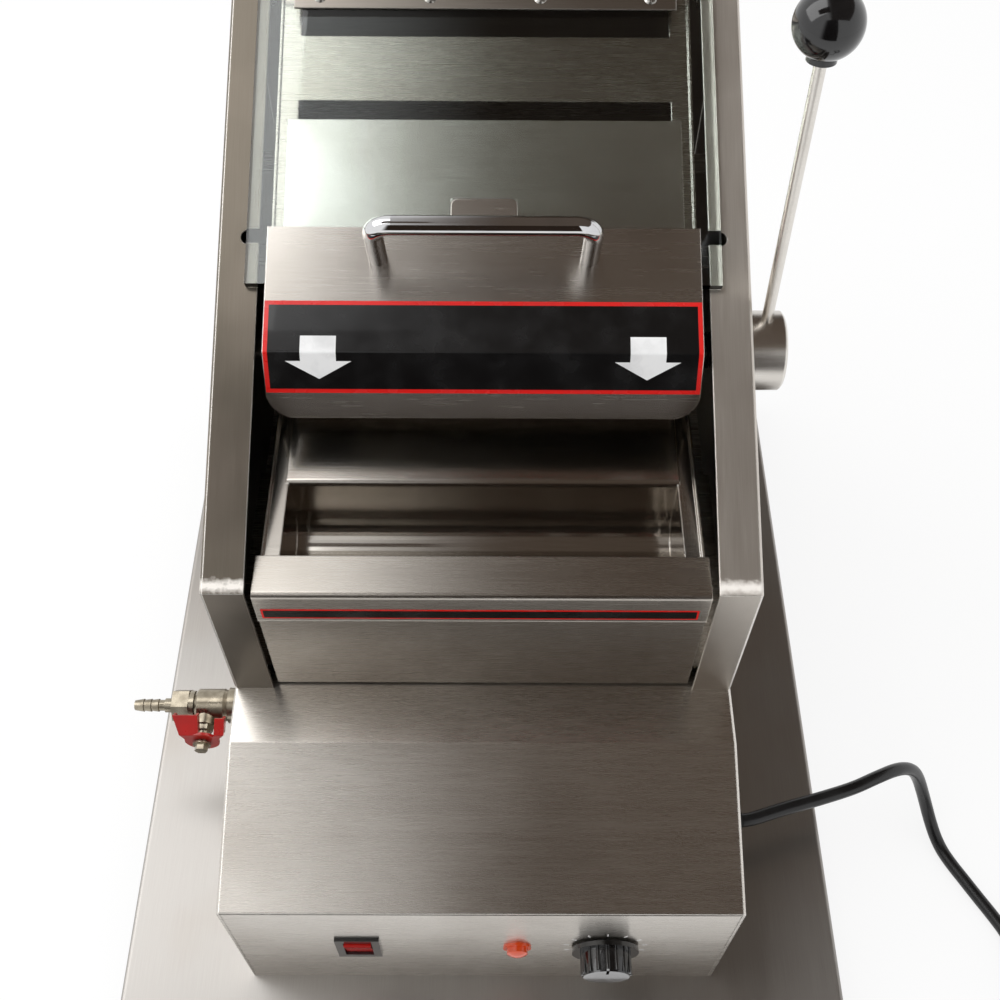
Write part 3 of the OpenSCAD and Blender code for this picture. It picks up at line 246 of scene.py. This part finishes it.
def mouldedPlastic(name, base, worn, roughness, grainSize, bump, coat=0.0):
    # moulded plastic, rubber or dipped vinyl: even colour, a fine mould grain, dusty patches at random
    material = bpy.data.materials.new(name)
    material.use_nodes = True
    tree = material.node_tree
    shader = tree.nodes["Principled BSDF"]
    where = addNode(tree, "ShaderNodeTexCoord")
    grain = addNode(tree, "ShaderNodeTexNoise", {
        "Vector": (where, "Object"), "Scale": 1 / grainSize, "Detail": 3.0})
    # worn and dusty patches some 17 mm across
    cloud = addNode(tree, "ShaderNodeTexNoise", {
        "Vector": (where, "Object"), "Scale": 60.0, "Detail": 3.0})
    ramp = addNode(tree, "ShaderNodeValToRGB", {"Fac": (cloud, "Fac")})
    for stop, place, tint in zip(ramp.color_ramp.elements, (0.45, 0.8), (base, worn)):
        stop.position, stop.color = place, toLinear(tint)
    rough = addNode(tree, "ShaderNodeMapRange", {
        "Value": (cloud, "Fac"), "From Min": 0.3, "From Max": 0.7, "To Min": roughness - 0.05,
        "To Max": roughness + 0.08})
    relief = addNode(tree, "ShaderNodeBump", {"Height": (grain, "Fac"), "Strength": bump, "Distance": 0.0002})
    tree.links.new(ramp.outputs["Color"], shader.inputs["Base Color"])
    tree.links.new(rough.outputs["Result"], shader.inputs["Roughness"])
    tree.links.new(relief.outputs["Normal"], shader.inputs["Normal"])
    shader.inputs["Coat Weight"].default_value = coat
    return material


def clearSheet():
    # cast acrylic: clear, polished, faint sleeks from wiping
    material = bpy.data.materials.new("castAcrylicClear")
    material.use_nodes = True
    tree = material.node_tree
    shader = tree.nodes["Principled BSDF"]
    where = addNode(tree, "ShaderNodeTexCoord")
    sleeks = addNode(tree, "ShaderNodeTexNoise", {"Vector": (where, "Object"), "Scale": 35.0, "Detail": 5.0})
    rough = addNode(tree, "ShaderNodeMapRange", {
        "Value": (sleeks, "Fac"), "From Min": 0.4, "From Max": 0.8, "To Min": 0.0, "To Max": 0.05})
    tree.links.new(rough.outputs["Result"], shader.inputs["Roughness"])
    shader.inputs["Base Color"].default_value = toLinear("#F4FAF8")
    shader.inputs["IOR"].default_value = 1.49
    shader.inputs["Transmission Weight"].default_value = 1.0
    return material


finish = {
    # belt-brushed 304 stainless sheet: soft streaks in the light, across the machine or up its slope
    "cabinetSteel": brushedMetal("brushedStainlessCabinet", "#E2DDD6", "#CFC9C1", 0.27),
    # painted shade: the left cheek is the same steel as the right one, coloured darker to stand in for its
    # shaded reflections
    "leftSteelPaintedShade": brushedMetal("brushedStainlessLeftCheekPaintedShade", "#756E64", "#686157", 0.33, "Y", -22.4,
                              mark=(-0.1062, 0.3068, 0.0036)),
    "rightSteel": brushedMetal("brushedStainlessRightCheek", "#DDD7CF", "#CBC4BB", 0.33, "Y", -22.4,
                               mark=(-0.1062, 0.3068, 0.0036)),
    "visorSteel": brushedMetal("brushedStainlessVisor", "#DCD7D0", "#C8C2BA", 0.25),
    "drawerSteel": brushedMetal("brushedStainlessDrawer", "#D2CCC4", "#BCB6AD", 0.26),
    # bright-annealed mill sheet, not brushed after forming: smoother, with clearer reflections
    "traySteel": brushedMetal("millStainlessTray", "#C9C4BC", "#B9B3AB", 0.14, bump=0.005),
    "innerSteel": brushedMetal("millStainlessInner", "#BDB7AE", "#A8A198", 0.26, bump=0.006),
    "coverSteel": brushedMetal("millStainlessCover", "#DEDBD6", "#D2CEC8", 0.24, bump=0.005),
    # coarser belt, brushed from front to back: a pale even grey
    "panSteel": brushedMetal("brushedStainlessPan", "#B0ADA9", "#A09C98", 0.36, "Y"),
    "backSteel": brushedMetal("brushedStainlessBack", "#BDB7AE", "#A69F96", 0.32),
    # turned and belt-finished stainless bar: bright, with fine lines round it
    "turnedSteel": brushedMetal("turnedStainless", "#EEEAE4", "#D2CDC6", 0.24),
    # polished chrome plate on a steel rod: sharp dark and white reflections
    "chrome": plainMetal("polishedChrome", "#DADADB", "#C9C9CB", 0.03, 0.02, 0.01),
    # zinc-plated screws: dull silver with small spots
    "screwSteel": plainMetal("zincPlatedScrew", "#BFBDB8", "#9B9993", 0.22, 0.003),
    # nickel-plated cast and turned brass: warm grey, slightly rough
    "nickel": plainMetal("nickelPlatedBrass", "#A69D8C", "#7D7465", 0.24, 0.006, 0.12),
    # turned brass: yellow, a little tarnished
    "brass": plainMetal("bareBrass", "#B8964F", "#8E7238", 0.25, 0.004),
    # black-oxide alloy steel: dark, oiled
    "blackSteel": plainMetal("blackOxideSteel", "#3A3938", "#242322", 0.38, 0.003),
    # vinyl dipped on pressed steel: rounded, glossy red
    "redVinyl": mouldedPlastic("dippedVinylRed", "#A81712", "#8A0F0C", 0.28, 0.0012, 0.08, 0.3),
    # moulded rubber: matt black that takes dust
    "blackRubber": mouldedPlastic("mouldedRubberBlack", "#161617", "#2A2A2A", 0.55, 0.0008, 0.25),
    # extruded PVC sheath: smooth black with a soft gloss
    "cordPvc": mouldedPlastic("extrudedPvcBlack", "#0E0E0F", "#1C1C1D", 0.30, 0.0010, 0.05),
    # pressed phenolic: hard, deep black gloss
    "knobPhenolic": mouldedPlastic("phenolicBlack", "#0B0B0C", "#151516", 0.12, 0.002, 0.02, 0.5),
    # polycarbonate, lit from inside when on: clear red gloss
    "switchPlastic": mouldedPlastic("rockerRedPolycarbonate", "#B3160F", "#97110B", 0.2, 0.002, 0.02, 0.4),
    "lampLens": mouldedPlastic("lampLensAmber", "#D2481A", "#B93A12", 0.1, 0.002, 0.02, 0.6),
    # printed vinyl film under a clear laminate: flat colours, even gloss
    "labelBlack": mouldedPlastic("printedVinylBlack", "#0B0B0C", "#141415", 0.22, 0.004, 0.02, 0.4),
    "labelRed": mouldedPlastic("printedVinylRed", "#D3120C", "#C00F0A", 0.25, 0.004, 0.02, 0.3),
    "labelWhite": mouldedPlastic("printedVinylWhite", "#E6E6E6", "#BDBDBD", 0.25, 0.004, 0.02, 0.3),
    "clear": clearSheet(),
}

nodeFinish = {
    "panSteel": ["base_pan"],
    "cabinetSteel": ["cabinet_shell", "front_panel"],
    "leftSteelPaintedShade": ["left_cheek"],
    "rightSteel": ["right_cheek"],
    "backSteel": ["tower_back", "rear_panel", "hinge_rail", "door_hinge_leaf"],
    "visorSteel": ["door_visor"],
    "drawerSteel": ["drawer_front"],
    "traySteel": ["drawer_tray"],
    "innerSteel": ["hopper_liner", "hopper_floor", "drawer_runners", "water_tank", "tank_lid", "steam_duct",
                   "dispensing_rotor"],
    "coverSteel": ["hopper_cover"],
    "turnedSteel": ["lever_hub", "lever_rod", "rotor_shaft", "heating_element"],
    "chrome": ["door_pull"],
    "screwSteel": ["foot_screws", "rear_screws", "pull_screws", "hinge_screws", "hinge_pin"],
    "nickel": ["valve_body", "valve_barb", "valve_stem", "valve_bolt", "drain_pipe"],
    "brass": ["shaft_bushes", "plug_blades"],
    "blackSteel": ["hub_set_screw", "return_spring"],
    "redVinyl": ["valve_handle"],
    "blackRubber": ["rubber_feet", "cord_gland", "plug"],
    "knobPhenolic": ["lever_knob", "switch_bezel", "thermostat_knob", "thermostat"],
    "switchPlastic": ["switch_rocker"],
    "lampLens": ["pilot_lamp"],
    "clear": ["door_panel"],
}
for key, names in nodeFinish.items():
    for nodeName in names:
        mesh = cadNodes[nodeName].data
        mesh.materials.clear()
        mesh.materials.append(finish[key])
print("finishes on", sum(len(v) for v in nodeFinish.values()), "nodes")


cordShape = {  # in mm, the route that the CAD cord has
    "diameter": 0.0085,
    "sides": 16,
    "route": [(160, -146, 90), (168, -144.7, 90), (187, -138.5, 89.5), (212, -131, 88.5),
              (234, -123.5, 87), (251, -115.5, 84.5), (264, -109, 80), (274.5, -104.5, 73), (283, -102.3,
                                                                                             63.5),
              (289.5, -102.8, 52), (295, -106, 39.5), (300, -111.5, 27.5), (304.4, -119, 17.4), (308.4,
                                                                                                 -127.3,
                                                                                                 10.2),
              (312.6, -135.6, 5.9), (317.5, -144.5, 4.5), (324, -155.5, 4.25), (331, -167.5, 4.25),
              (338.3, -179.8, 4.25), (343.8, -190.3, 4.25), (346.9, -200.9, 4.25), (348, -212, 4.25)],
    "coilStart": (348, -221),
    "coilRadius": 58,
    "coilLoops": 5,
    "coilPitch": 9.4,
    "coilClimb": 9.4,
    "tail": [(348, -230, 13.65), (348, -238, 13.4), (348, -246, 12.6), (348, -254, 12.1), (348, -262, 12)],
}


def throughPoints(points, steps):  # one smooth line through the points, as the CAD draws it
    out = []
    last = len(points) - 1
    for i in range(last):
        a, b = Vector(points[max(i - 1, 0)]), Vector(points[i])
        c, d = Vector(points[i + 1]), Vector(points[min(i + 2, last)])
        for k in range(steps):
            t = k / steps
            out.append(0.5 * (2 * b + (c - a) * t + (2 * a - 5 * b + 4 * c - d) * t * t
                              + (3 * b - a - 3 * c + d) * t ** 3))
    return out + [Vector(points[last])]


def cordLine(c):
    points = throughPoints(c["route"], 5)
    rings = 24
    steps = c["coilLoops"] * rings
    centreX, centreY = c["coilStart"][0] + c["coilRadius"], c["coilStart"][1]
    turns = []
    for i in range(steps + 1):
        radius = c["coilRadius"] - min(i, steps - i) / rings * c["coilPitch"]
        lift = c["coilClimb"] * max(0, min(1, (i - steps / 2) / (rings / 2) + 0.5))
        a = math.pi + i * 2 * math.pi / rings
        turns.append((centreX + radius * math.cos(a), centreY + radius * math.sin(a),
                      c["diameter"] * 500 + lift))
    points += throughPoints([c["route"][-1]] + turns + c["tail"], 2)[1:]
    return [p / 1000 for p in points]


def tubeMesh(line, radius, sides):  # closed tube with its own UV: u round it, v along it in metres
    bm = bmesh.new()
    uvLayer = bm.loops.layers.uv.new("UVMap")
    headings = [(line[min(i + 1, len(line) - 1)] - line[max(i - 1,
                                                            0)]).normalized() for i in range(len(line))]
    side = headings[0].cross(Vector((0, 0, 1))).normalized()
    rings, run, runs = [], 0.0, []
    for i, point in enumerate(line):
        if i:
            side = (side - headings[i] * side.dot(headings[i])).normalized()
            run += (point - line[i - 1]).length
        top = side.cross(headings[i])
        runs.append(run)
        rings.append([bm.verts.new(point + radius * (math.cos(a) * side + math.sin(a) * top))
                      for a in (2 * math.pi * k / sides for k in range(sides))])
    for i in range(len(line) - 1):
        for k in range(sides):
            face = bm.faces.new((rings[i][k], rings[i][(k + 1) % sides], rings[i + 1][(k + 1) % sides],
                                 rings[i + 1][k]))
            face.smooth = True
            for loop, (u, v) in zip(face.loops, ((k, i), (k + 1, i), (k + 1, i + 1), (k, i + 1))):
                loop[uvLayer].uv = (u / sides, runs[v])
    bm.faces.new(list(reversed(rings[0])))
    bm.faces.new(rings[-1])
    return bm


mainsLine = cordLine(cordShape)
mainsCord = meshObject("mains_cord", tubeMesh(mainsLine, cordShape["diameter"] / 2, cordShape["sides"]),
                       finish["cordPvc"], "frame")
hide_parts("cord", "cord_coil")

tieShape = {  # in mm, round the coil's centre
    "angle": 20,
    "inner": 28.6,
    "outer": 62.8,
    "low": 0.1,
    "high": 18.4,
    "width": 12,
    "thick": 0.9,
    "corner": 5,
}


def coilTie(t, c):  # a hook-and-loop band round all the turns
    bm = bmesh.new()
    a = math.radians(t["angle"])
    outwards, sideways = Vector((math.cos(a), math.sin(a), 0)), Vector((-math.sin(a), math.cos(a), 0))
    centre = Vector((c["coilStart"][0] + c["coilRadius"], c["coilStart"][1], 0))
    r0, r1, z0, z1, k = t["inner"], t["outer"], t["low"], t["high"], t["corner"]
    corners = [(r1 - k, z0 + k, -90), (r1 - k, z1 - k, 0), (r0 + k, z1 - k, 90), (r0 + k, z0 + k, 180)]
    loopPoints = []
    for cr, cz, start in corners:
        for step in range(7):
            b = math.radians(start + step * 15)
            loopPoints.append((cr + k * math.cos(b), cz + k * math.sin(b), math.cos(b), math.sin(b)))
    rings = []
    for r, z, nr, nz in loopPoints:
        ring = []
        for depth, across in ((0, -0.5), (0, 0.5), (-t["thick"], 0.5), (-t["thick"], -0.5)):
            place = centre + outwards * (r + nr * depth) + sideways * (across * t["width"])
            place.z = z + nz * depth
            ring.append(bm.verts.new(place / 1000))
        rings.append(ring)
    for i, ring in enumerate(rings):
        after = rings[(i + 1) % len(rings)]
        for k in range(4):
            bm.faces.new((ring[k], ring[(k + 1) % 4], after[(k + 1) % 4], after[k]))
    return bm


cordTie = meshObject("cord_tie", coilTie(tieShape, cordShape), finish["blackRubber"], "frame")


slope = {"angle": 22.4, "y": -0.110, "z": 0.305}


def onSlope(x, s, lift):  # a point given along and off the sloped face, in metres
    a = math.radians(slope["angle"])
    return Vector((x, slope["y"] + s * math.cos(a) - lift * math.sin(a),
                   slope["z"] + s * math.sin(a) + lift * math.cos(a)))


def slopeRun(y):
    return (y / 1000 - slope["y"]) / math.cos(math.radians(slope["angle"]))


visorLabel = {
    "left": -0.1126, "right": 0.1126,
    "up": 0.0290,  # how far it reaches over the top face from the crease
    "down": 0.0220,  # and down the front face
    "border": 0.0023,
    "thick": 0.00015,
    "gap": 0.00002,
    "fieldTop": 1.7,  # in thicknesses of the film
    "arrowLow": 1.75,
    "arrowTop": 2.2,
    "creaseY": 3,
    "sheetTop": 0.0068,  # the visor's face over the slope
    "fall": 65,  # the front face's angle under the horizon
    "foldRadius": 0.002,
    "arrowX": 0.0845,
    "arrow": [(-0.0092, 0.0190), (0.0092, 0.0190), (0.0092, 0.0325), (0.0170, 0.0325),
              (0.0, 0.0425), (-0.0170, 0.0325), (-0.0092, 0.0325)],
}


def visorPath(v):  # the label's line over the fold: (distance up the slope, lift off it, lean)
    crease, lift, r = slopeRun(v["creaseY"]), v["sheetTop"], v["foldRadius"]
    turn = math.radians(v["fall"] - slope["angle"])
    out = []
    top = v["up"] - r
    for k in range(9):
        out.append((crease + r + top * (1 - k / 8), lift, 0.0))
    centreS, centreL = crease + r, lift - r
    for k in range(1, 9):
        b = turn * k / 8
        out.append((centreS - r * math.sin(b), centreL + r * math.cos(b), b))
    endS, endL = out[-1][0], out[-1][1]
    for k in range(1, 9):
        d = v["down"] * k / 8
        out.append((endS - d * math.cos(turn), endL - d * math.sin(turn), turn))
    return out


def runsAlong(line):  # the distance to each point of the label's line
    runs = [0.0]
    for (s0, l0, _), (s1, l1, _) in zip(line, line[1:]):
        runs.append(runs[-1] + math.hypot(s1 - s0, l1 - l0))
    return runs


def bandMesh(line, x0, x1, y0, y1, lift0, lift1):  # part of a folded label, from run y0 to y1 along its line
    runs = runsAlong(line)

    def at(run):
        run = max(0, min(runs[-1], run))
        for i in range(len(line) - 1):
            if run <= runs[i + 1] + 1e-9:
                t = (run - runs[i]) / (runs[i + 1] - runs[i])
                return [a + (b - a) * t for a, b in zip(line[i], line[i + 1])]
        return list(line[-1])

    stops = sorted({y0, y1} | {r for r in runs if y0 < r < y1})
    bm = bmesh.new()
    rows = []
    for run in stops:
        s, l, b = at(run)
        ds, dl = -math.sin(b), math.cos(b)
        rows.append([bm.verts.new(onSlope(x, s + ds * h, l + dl * h))
                     for h in (lift0, lift1) for x in (x0, x1)])
    for a, b in zip(rows, rows[1:]):
        for i, j in ((0, 1), (1, 3), (3, 2), (2, 0)):
            bm.faces.new((a[i], a[j], b[j], b[i]))
    bm.faces.new((rows[0][0], rows[0][1], rows[0][3], rows[0][2]))
    bm.faces.new((rows[-1][0], rows[-1][2], rows[-1][3], rows[-1][1]))
    return bm


def decal(line, outline, lift0, lift1):  # a flat outline laid over the folded label
    runs = runsAlong(line)
    bm = bmesh.new()
    face = bm.faces.new([bm.verts.new((x, run, 0)) for x, run in outline])
    solid = bmesh.ops.extrude_face_region(bm, geom=[face])
    for v in [g for g in solid["geom"] if isinstance(g, bmesh.types.BMVert)]:
        v.co.z = 1
    for run in runs[1:-1]:
        bmesh.ops.bisect_plane(bm, geom=list(bm.verts) + list(bm.edges) + list(bm.faces),
                               plane_co=(0, run, 0), plane_no=(0, 1, 0))
    bmesh.ops.triangulate(bm, faces=bm.faces)
    for v in bm.verts:
        i = next((k for k in range(len(line) - 1) if v.co.y <= runs[k + 1] + 1e-9), len(line) - 2)
        t = (v.co.y - runs[i]) / (runs[i + 1] - runs[i])
        along, lift, lean = [a + (b - a) * t for a, b in zip(line[i], line[i + 1])]
        off = lift0 + (lift1 - lift0) * v.co.z
        v.co = onSlope(v.co.x, along - math.sin(lean) * off, lift + math.cos(lean) * off)
    return bm


def joined(parts):
    bm = bmesh.new()
    for part in parts:
        mesh = bpy.data.meshes.new("part")
        part.to_mesh(mesh)
        part.free()
        bm.from_mesh(mesh)
        bpy.data.meshes.remove(mesh)
    return bm


def makeVisorLabel(v):
    line = visorPath(v)
    total = runsAlong(line)[-1]
    b = v["border"]
    whole = bandMesh(line, v["left"], v["right"], 0, total, v["gap"], v["thick"])
    piece = meshObject("visor_label_border", whole, finish["labelRed"], "door")
    field = bandMesh(line, v["left"] + b, v["right"] - b, b, total - b, v["thick"],
                     v["thick"] * v["fieldTop"])
    piece = meshObject("visor_label_field", field, finish["labelBlack"], "door")
    arrows = []
    for side in (-1, 1):  # plain arrows pointing down to the drawer
        outline = [(side * v["arrowX"] + x, run) for x, run in v["arrow"]]
        arrows.append(decal(line, outline, v["thick"] * v["arrowLow"], v["thick"] * v["arrowTop"]))
    piece = meshObject("visor_label_arrows", joined(arrows), finish["labelWhite"], "door")


makeVisorLabel(visorLabel)


lipLabel = {
    "left": -0.1125, "right": 0.1105,
    "low": 0.2785, "high": 0.2875,
    "border": 0.0011,
    "face": -0.1085,  # the lip's front
    "thick": 0.00015,
    "gap": 0.00002,
    "fieldTop": 1.7,  # in thicknesses of the film
}


def plate(x0, x1, y0, y1, z0, z1):
    bm = bmesh.new()
    bmesh.ops.create_cube(bm, size=1.0)
    for v in bm.verts:
        v.co = Vector((x0 + (v.co.x + 0.5) * (x1 - x0), y0 + (v.co.y + 0.5) * (y1 - y0),
                       z0 + (v.co.z + 0.5) * (z1 - z0)))
    return bm


def makeLipLabel(l):
    face, thick, b = l["face"], l["thick"], l["border"]
    whole = plate(l["left"], l["right"], face - thick, face - l["gap"], l["low"], l["high"])
    piece = meshObject("lip_label_border", whole, finish["labelRed"], "drawer")
    field = plate(l["left"] + b, l["right"] - b, face - l["fieldTop"] * thick, face - thick,
                  l["low"] + b, l["high"] - b)
    piece = meshObject("lip_label_field", field, finish["labelBlack"], "drawer")


makeLipLabel(lipLabel)
print("labels made")


dialTicks = {
    "count": 11,
    "radius": 0.0225,
    "length": 0.0030,
    "width": 0.0008,
    "thick": 0.0002,
    "from": -135,
    "sweep": 270,
    "centre": (0.070, -0.228, 0.112),
}


def makeDialTicks(d):
    tree = bpy.data.node_groups.new("dialTicks", "GeometryNodeTree")
    for name, kind in (("Geometry", "Geometry"), ("Count", "Int"), ("Radius", "Float"), ("Length", "Float"),
                       ("Width", "Float"), ("Thickness", "Float"), ("Start", "Float"), ("Sweep", "Float"),
                       ("Finish", "Material")):
        tree.interface.new_socket(name, in_out="INPUT", socket_type="NodeSocket" + kind)
    tree.interface.new_socket("Geometry", in_out="OUTPUT", socket_type="NodeSocketGeometry")
    given = addNode(tree, "NodeGroupInput")
    points = addNode(tree, "GeometryNodePoints", {"Count": (given, "Count"), "Position": (0, 0, 0)})
    index = addNode(tree, "GeometryNodeInputIndex")
    last = addNode(tree, "ShaderNodeMath", {0: (given, "Count"), 1: 1.0}, operation="SUBTRACT")
    share = addNode(tree, "ShaderNodeMath", {0: (index, "Index"), 1: (last, "Value")}, operation="DIVIDE")
    angle = addNode(tree, "ShaderNodeMath", {
        0: (share, "Value"), 1: (given, "Sweep"), 2: (given, "Start")}, operation="MULTIPLY_ADD")
    turn = addNode(tree, "ShaderNodeCombineXYZ", {"Y": (angle, "Value")})
    size = addNode(tree, "ShaderNodeCombineXYZ", {
        "X": (given, "Width"), "Y": (given, "Thickness"), "Z": (given, "Length")})
    tick = addNode(tree, "GeometryNodeMeshCube", {"Size": (size, "Vector")})
    outward = addNode(tree, "ShaderNodeCombineXYZ", {"Z": (given, "Radius")})
    moved = addNode(tree, "GeometryNodeTransform", {
        "Geometry": (tick, "Mesh"), "Translation": (outward, "Vector")})
    placed = addNode(tree, "GeometryNodeInstanceOnPoints", {
        "Points": (points, 0), "Instance": (moved, "Geometry")})
    toRotation = addNode(tree, "FunctionNodeEulerToRotation", {"Euler": (turn, "Vector")})
    tree.links.new(toRotation.outputs["Rotation"], placed.inputs["Rotation"])
    real = addNode(tree, "GeometryNodeRealizeInstances", {"Geometry": (placed, "Instances")})
    painted = addNode(tree, "GeometryNodeSetMaterial", {
        "Geometry": (real, "Geometry"), "Material": (given, "Finish")})
    addNode(tree, "NodeGroupOutput", {"Geometry": (painted, "Geometry")})
    holder = bpy.data.objects.new("dialTicksHolder", bpy.data.meshes.new("dialTicksHolder"))
    scene.collection.objects.link(holder)
    modifier = holder.modifiers.new("ticks", "NODES")
    modifier.node_group = tree
    values = {"Count": d["count"], "Radius": d["radius"], "Length": d["length"], "Width": d["width"],
              "Thickness": d["thick"], "Start": math.radians(d["from"]), "Sweep": math.radians(d["sweep"]),
              "Finish": finish["labelWhite"]}
    for item in tree.interface.items_tree:
        if item.in_out == "INPUT" and item.name in values:
            modifier[item.identifier] = values[item.name]
    bpy.context.view_layer.update()
    made = bpy.data.meshes.new_from_object(holder.evaluated_get(bpy.context.evaluated_depsgraph_get()))
    bpy.data.objects.remove(holder)
    made.transform(Matrix.Translation(Vector(d["centre"]) - Vector((0, d["thick"] / 2, 0))))
    ticks = bpy.data.objects.new("dial_ticks", made)
    scene.collection.objects.link(ticks)
    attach(ticks, "frame")


makeDialTicks(dialTicks)
print("dial ticks made")


studio = {
    "floorSize": 6.0,
    "floorLow": -0.0002,
    "floorGlow": 0.82,  # the rest shows the shadow
    "worldStrength": 0.62,
    "lamps": [  # name, place, aim, width, depth, watts, seen in reflections
        ("overhead", (0.15, 0.2, 2.3), (0, 0, 0.2), 1.6, 1.6, 9, False),
        ("left", (-1.55, 0.2, 2.1), (-0.1, 0, 0.25), 2.2, 2.6, 36, True),
        ("front", (0.4, -2.2, 1.2), (0, 0, 0.2), 1.2, 1.2, 8, False),
    ],
    # dim flats that only the polish picks up: name, middle, width, depth, facing, colour, faded at the left
    "cards": [
        ("ceilingCard", (1.16, 0.675, 2.0), 3.12, 4.35, (0, 0, -1), "#584E46", 0.42),
        ("frontCard", (-0.19, -1.5, 1.0), 1.62, 2.0, (0, 1, 0), "#2E251F", 0.6),
        ("backCard", (1.16, 2.6, 1.35), 3.12, 1.3, (0, -1, 0), "#40372F", 0.5),
        ("cameraCard", (-0.60, -0.28, 1.8), 1.0, 0.46, (0, 0, -1), "#463A31", 0.0),
    ],
}


def shownWhite(tree):  # 1 to the camera, in reflections and through the clear sheet, 0 to plain light
    path = addNode(tree, "ShaderNodeLightPath")
    first = addNode(tree, "ShaderNodeMath", {
        0: (path, "Is Camera Ray"), 1: (path, "Is Glossy Ray")}, operation="MAXIMUM")
    seen = addNode(tree, "ShaderNodeMath", {
        0: (first, "Value"), 1: (path, "Is Transmission Ray")}, operation="MAXIMUM")
    return seen


def makeStudio(s):
    world = bpy.data.worlds.new("studio")
    scene.world = world
    world.use_nodes = True
    tree = world.node_tree
    tree.nodes.clear()
    seen = shownWhite(tree)
    light = addNode(tree, "ShaderNodeBackground", {
        "Color": toLinear("#FFFFFF"), "Strength": s["worldStrength"]})
    white = addNode(tree, "ShaderNodeBackground", {"Color": toLinear("#FFFFFF"), "Strength": 1.0})
    mixed = addNode(tree, "ShaderNodeMixShader", {
        0: (seen, "Value"), 1: (light, "Background"), 2: (white, "Background")})
    addNode(tree, "ShaderNodeOutputWorld", {"Surface": (mixed, "Shader")})
    bm = bmesh.new()
    bmesh.ops.create_grid(bm, x_segments=1, y_segments=1, size=s["floorSize"] / 2)
    mesh = bpy.data.meshes.new("floor")
    bm.to_mesh(mesh)
    bm.free()
    floor = bpy.data.objects.new("floor", mesh)
    floor.location.z = s["floorLow"]
    scene.collection.objects.link(floor)
    material = bpy.data.materials.new("paperSweepWhite")
    material.use_nodes = True
    tree = material.node_tree
    tree.nodes.clear()
    seen = shownWhite(tree)
    paper = addNode(tree, "ShaderNodeBsdfDiffuse", {"Color": toLinear("#F6F6F6")})
    glow = addNode(tree, "ShaderNodeEmission", {"Color": toLinear("#FFFFFF"), "Strength": 1.0})
    part = addNode(tree, "ShaderNodeMath", {0: (seen, "Value"), 1: s["floorGlow"]}, operation="MULTIPLY")
    mixed = addNode(tree, "ShaderNodeMixShader", {
        0: (part, "Value"), 1: (paper, "BSDF"), 2: (glow, "Emission")})
    addNode(tree, "ShaderNodeOutputMaterial", {"Surface": (mixed, "Shader")})
    mesh.materials.append(material)
    for name, place, aim, width, depth, watts, reflected in s["lamps"]:
        lamp = bpy.data.lights.new(name, "AREA")
        lamp.shape, lamp.size, lamp.size_y, lamp.energy = "RECTANGLE", width, depth, watts
        holder = bpy.data.objects.new(name, lamp)
        holder.location = place
        holder.rotation_euler = (Vector(aim) - Vector(place)).to_track_quat("-Z", "Y").to_euler()
        holder.visible_glossy = reflected
        scene.collection.objects.link(holder)
    for name, middle, width, depth, facing, colour, faded in s["cards"]:
        bm = bmesh.new()
        turn = Vector(facing).to_track_quat("Z", "Y").to_matrix().to_4x4()
        spread = Matrix.Translation(middle) @ turn @ Matrix.Diagonal((width, depth, 1, 1))
        bmesh.ops.create_grid(bm, x_segments=1, y_segments=1, size=0.5, matrix=spread)
        mesh = bpy.data.meshes.new(name)
        bm.to_mesh(mesh)
        bm.free()
        material = bpy.data.materials.new(name)
        material.use_nodes = True
        tree = material.node_tree
        tree.nodes.clear()
        dim = addNode(tree, "ShaderNodeEmission", {"Color": toLinear(colour), "Strength": 1.0})
        clear = addNode(tree, "ShaderNodeBsdfTransparent")
        where = addNode(tree, "ShaderNodeTexCoord")
        split = addNode(tree, "ShaderNodeSeparateXYZ", {"Vector": (where, "Object")})
        leftEdge = middle[0] - width / 2
        share = addNode(tree, "ShaderNodeMapRange", {
            "Value": (split, "X"), "From Min": leftEdge - 0.001, "From Max": leftEdge + faded},
            interpolation_type="SMOOTHSTEP")
        mixed = addNode(tree, "ShaderNodeMixShader", {
            0: (share, "Result"), 1: (clear, "BSDF"), 2: (dim, "Emission")})
        addNode(tree, "ShaderNodeOutputMaterial", {"Surface": (mixed, "Shader")})
        mesh.materials.append(material)
        card = bpy.data.objects.new(name, mesh)
        scene.collection.objects.link(card)
        card.visible_camera = card.visible_diffuse = card.visible_shadow = False


makeStudio(studio)
print("studio set")
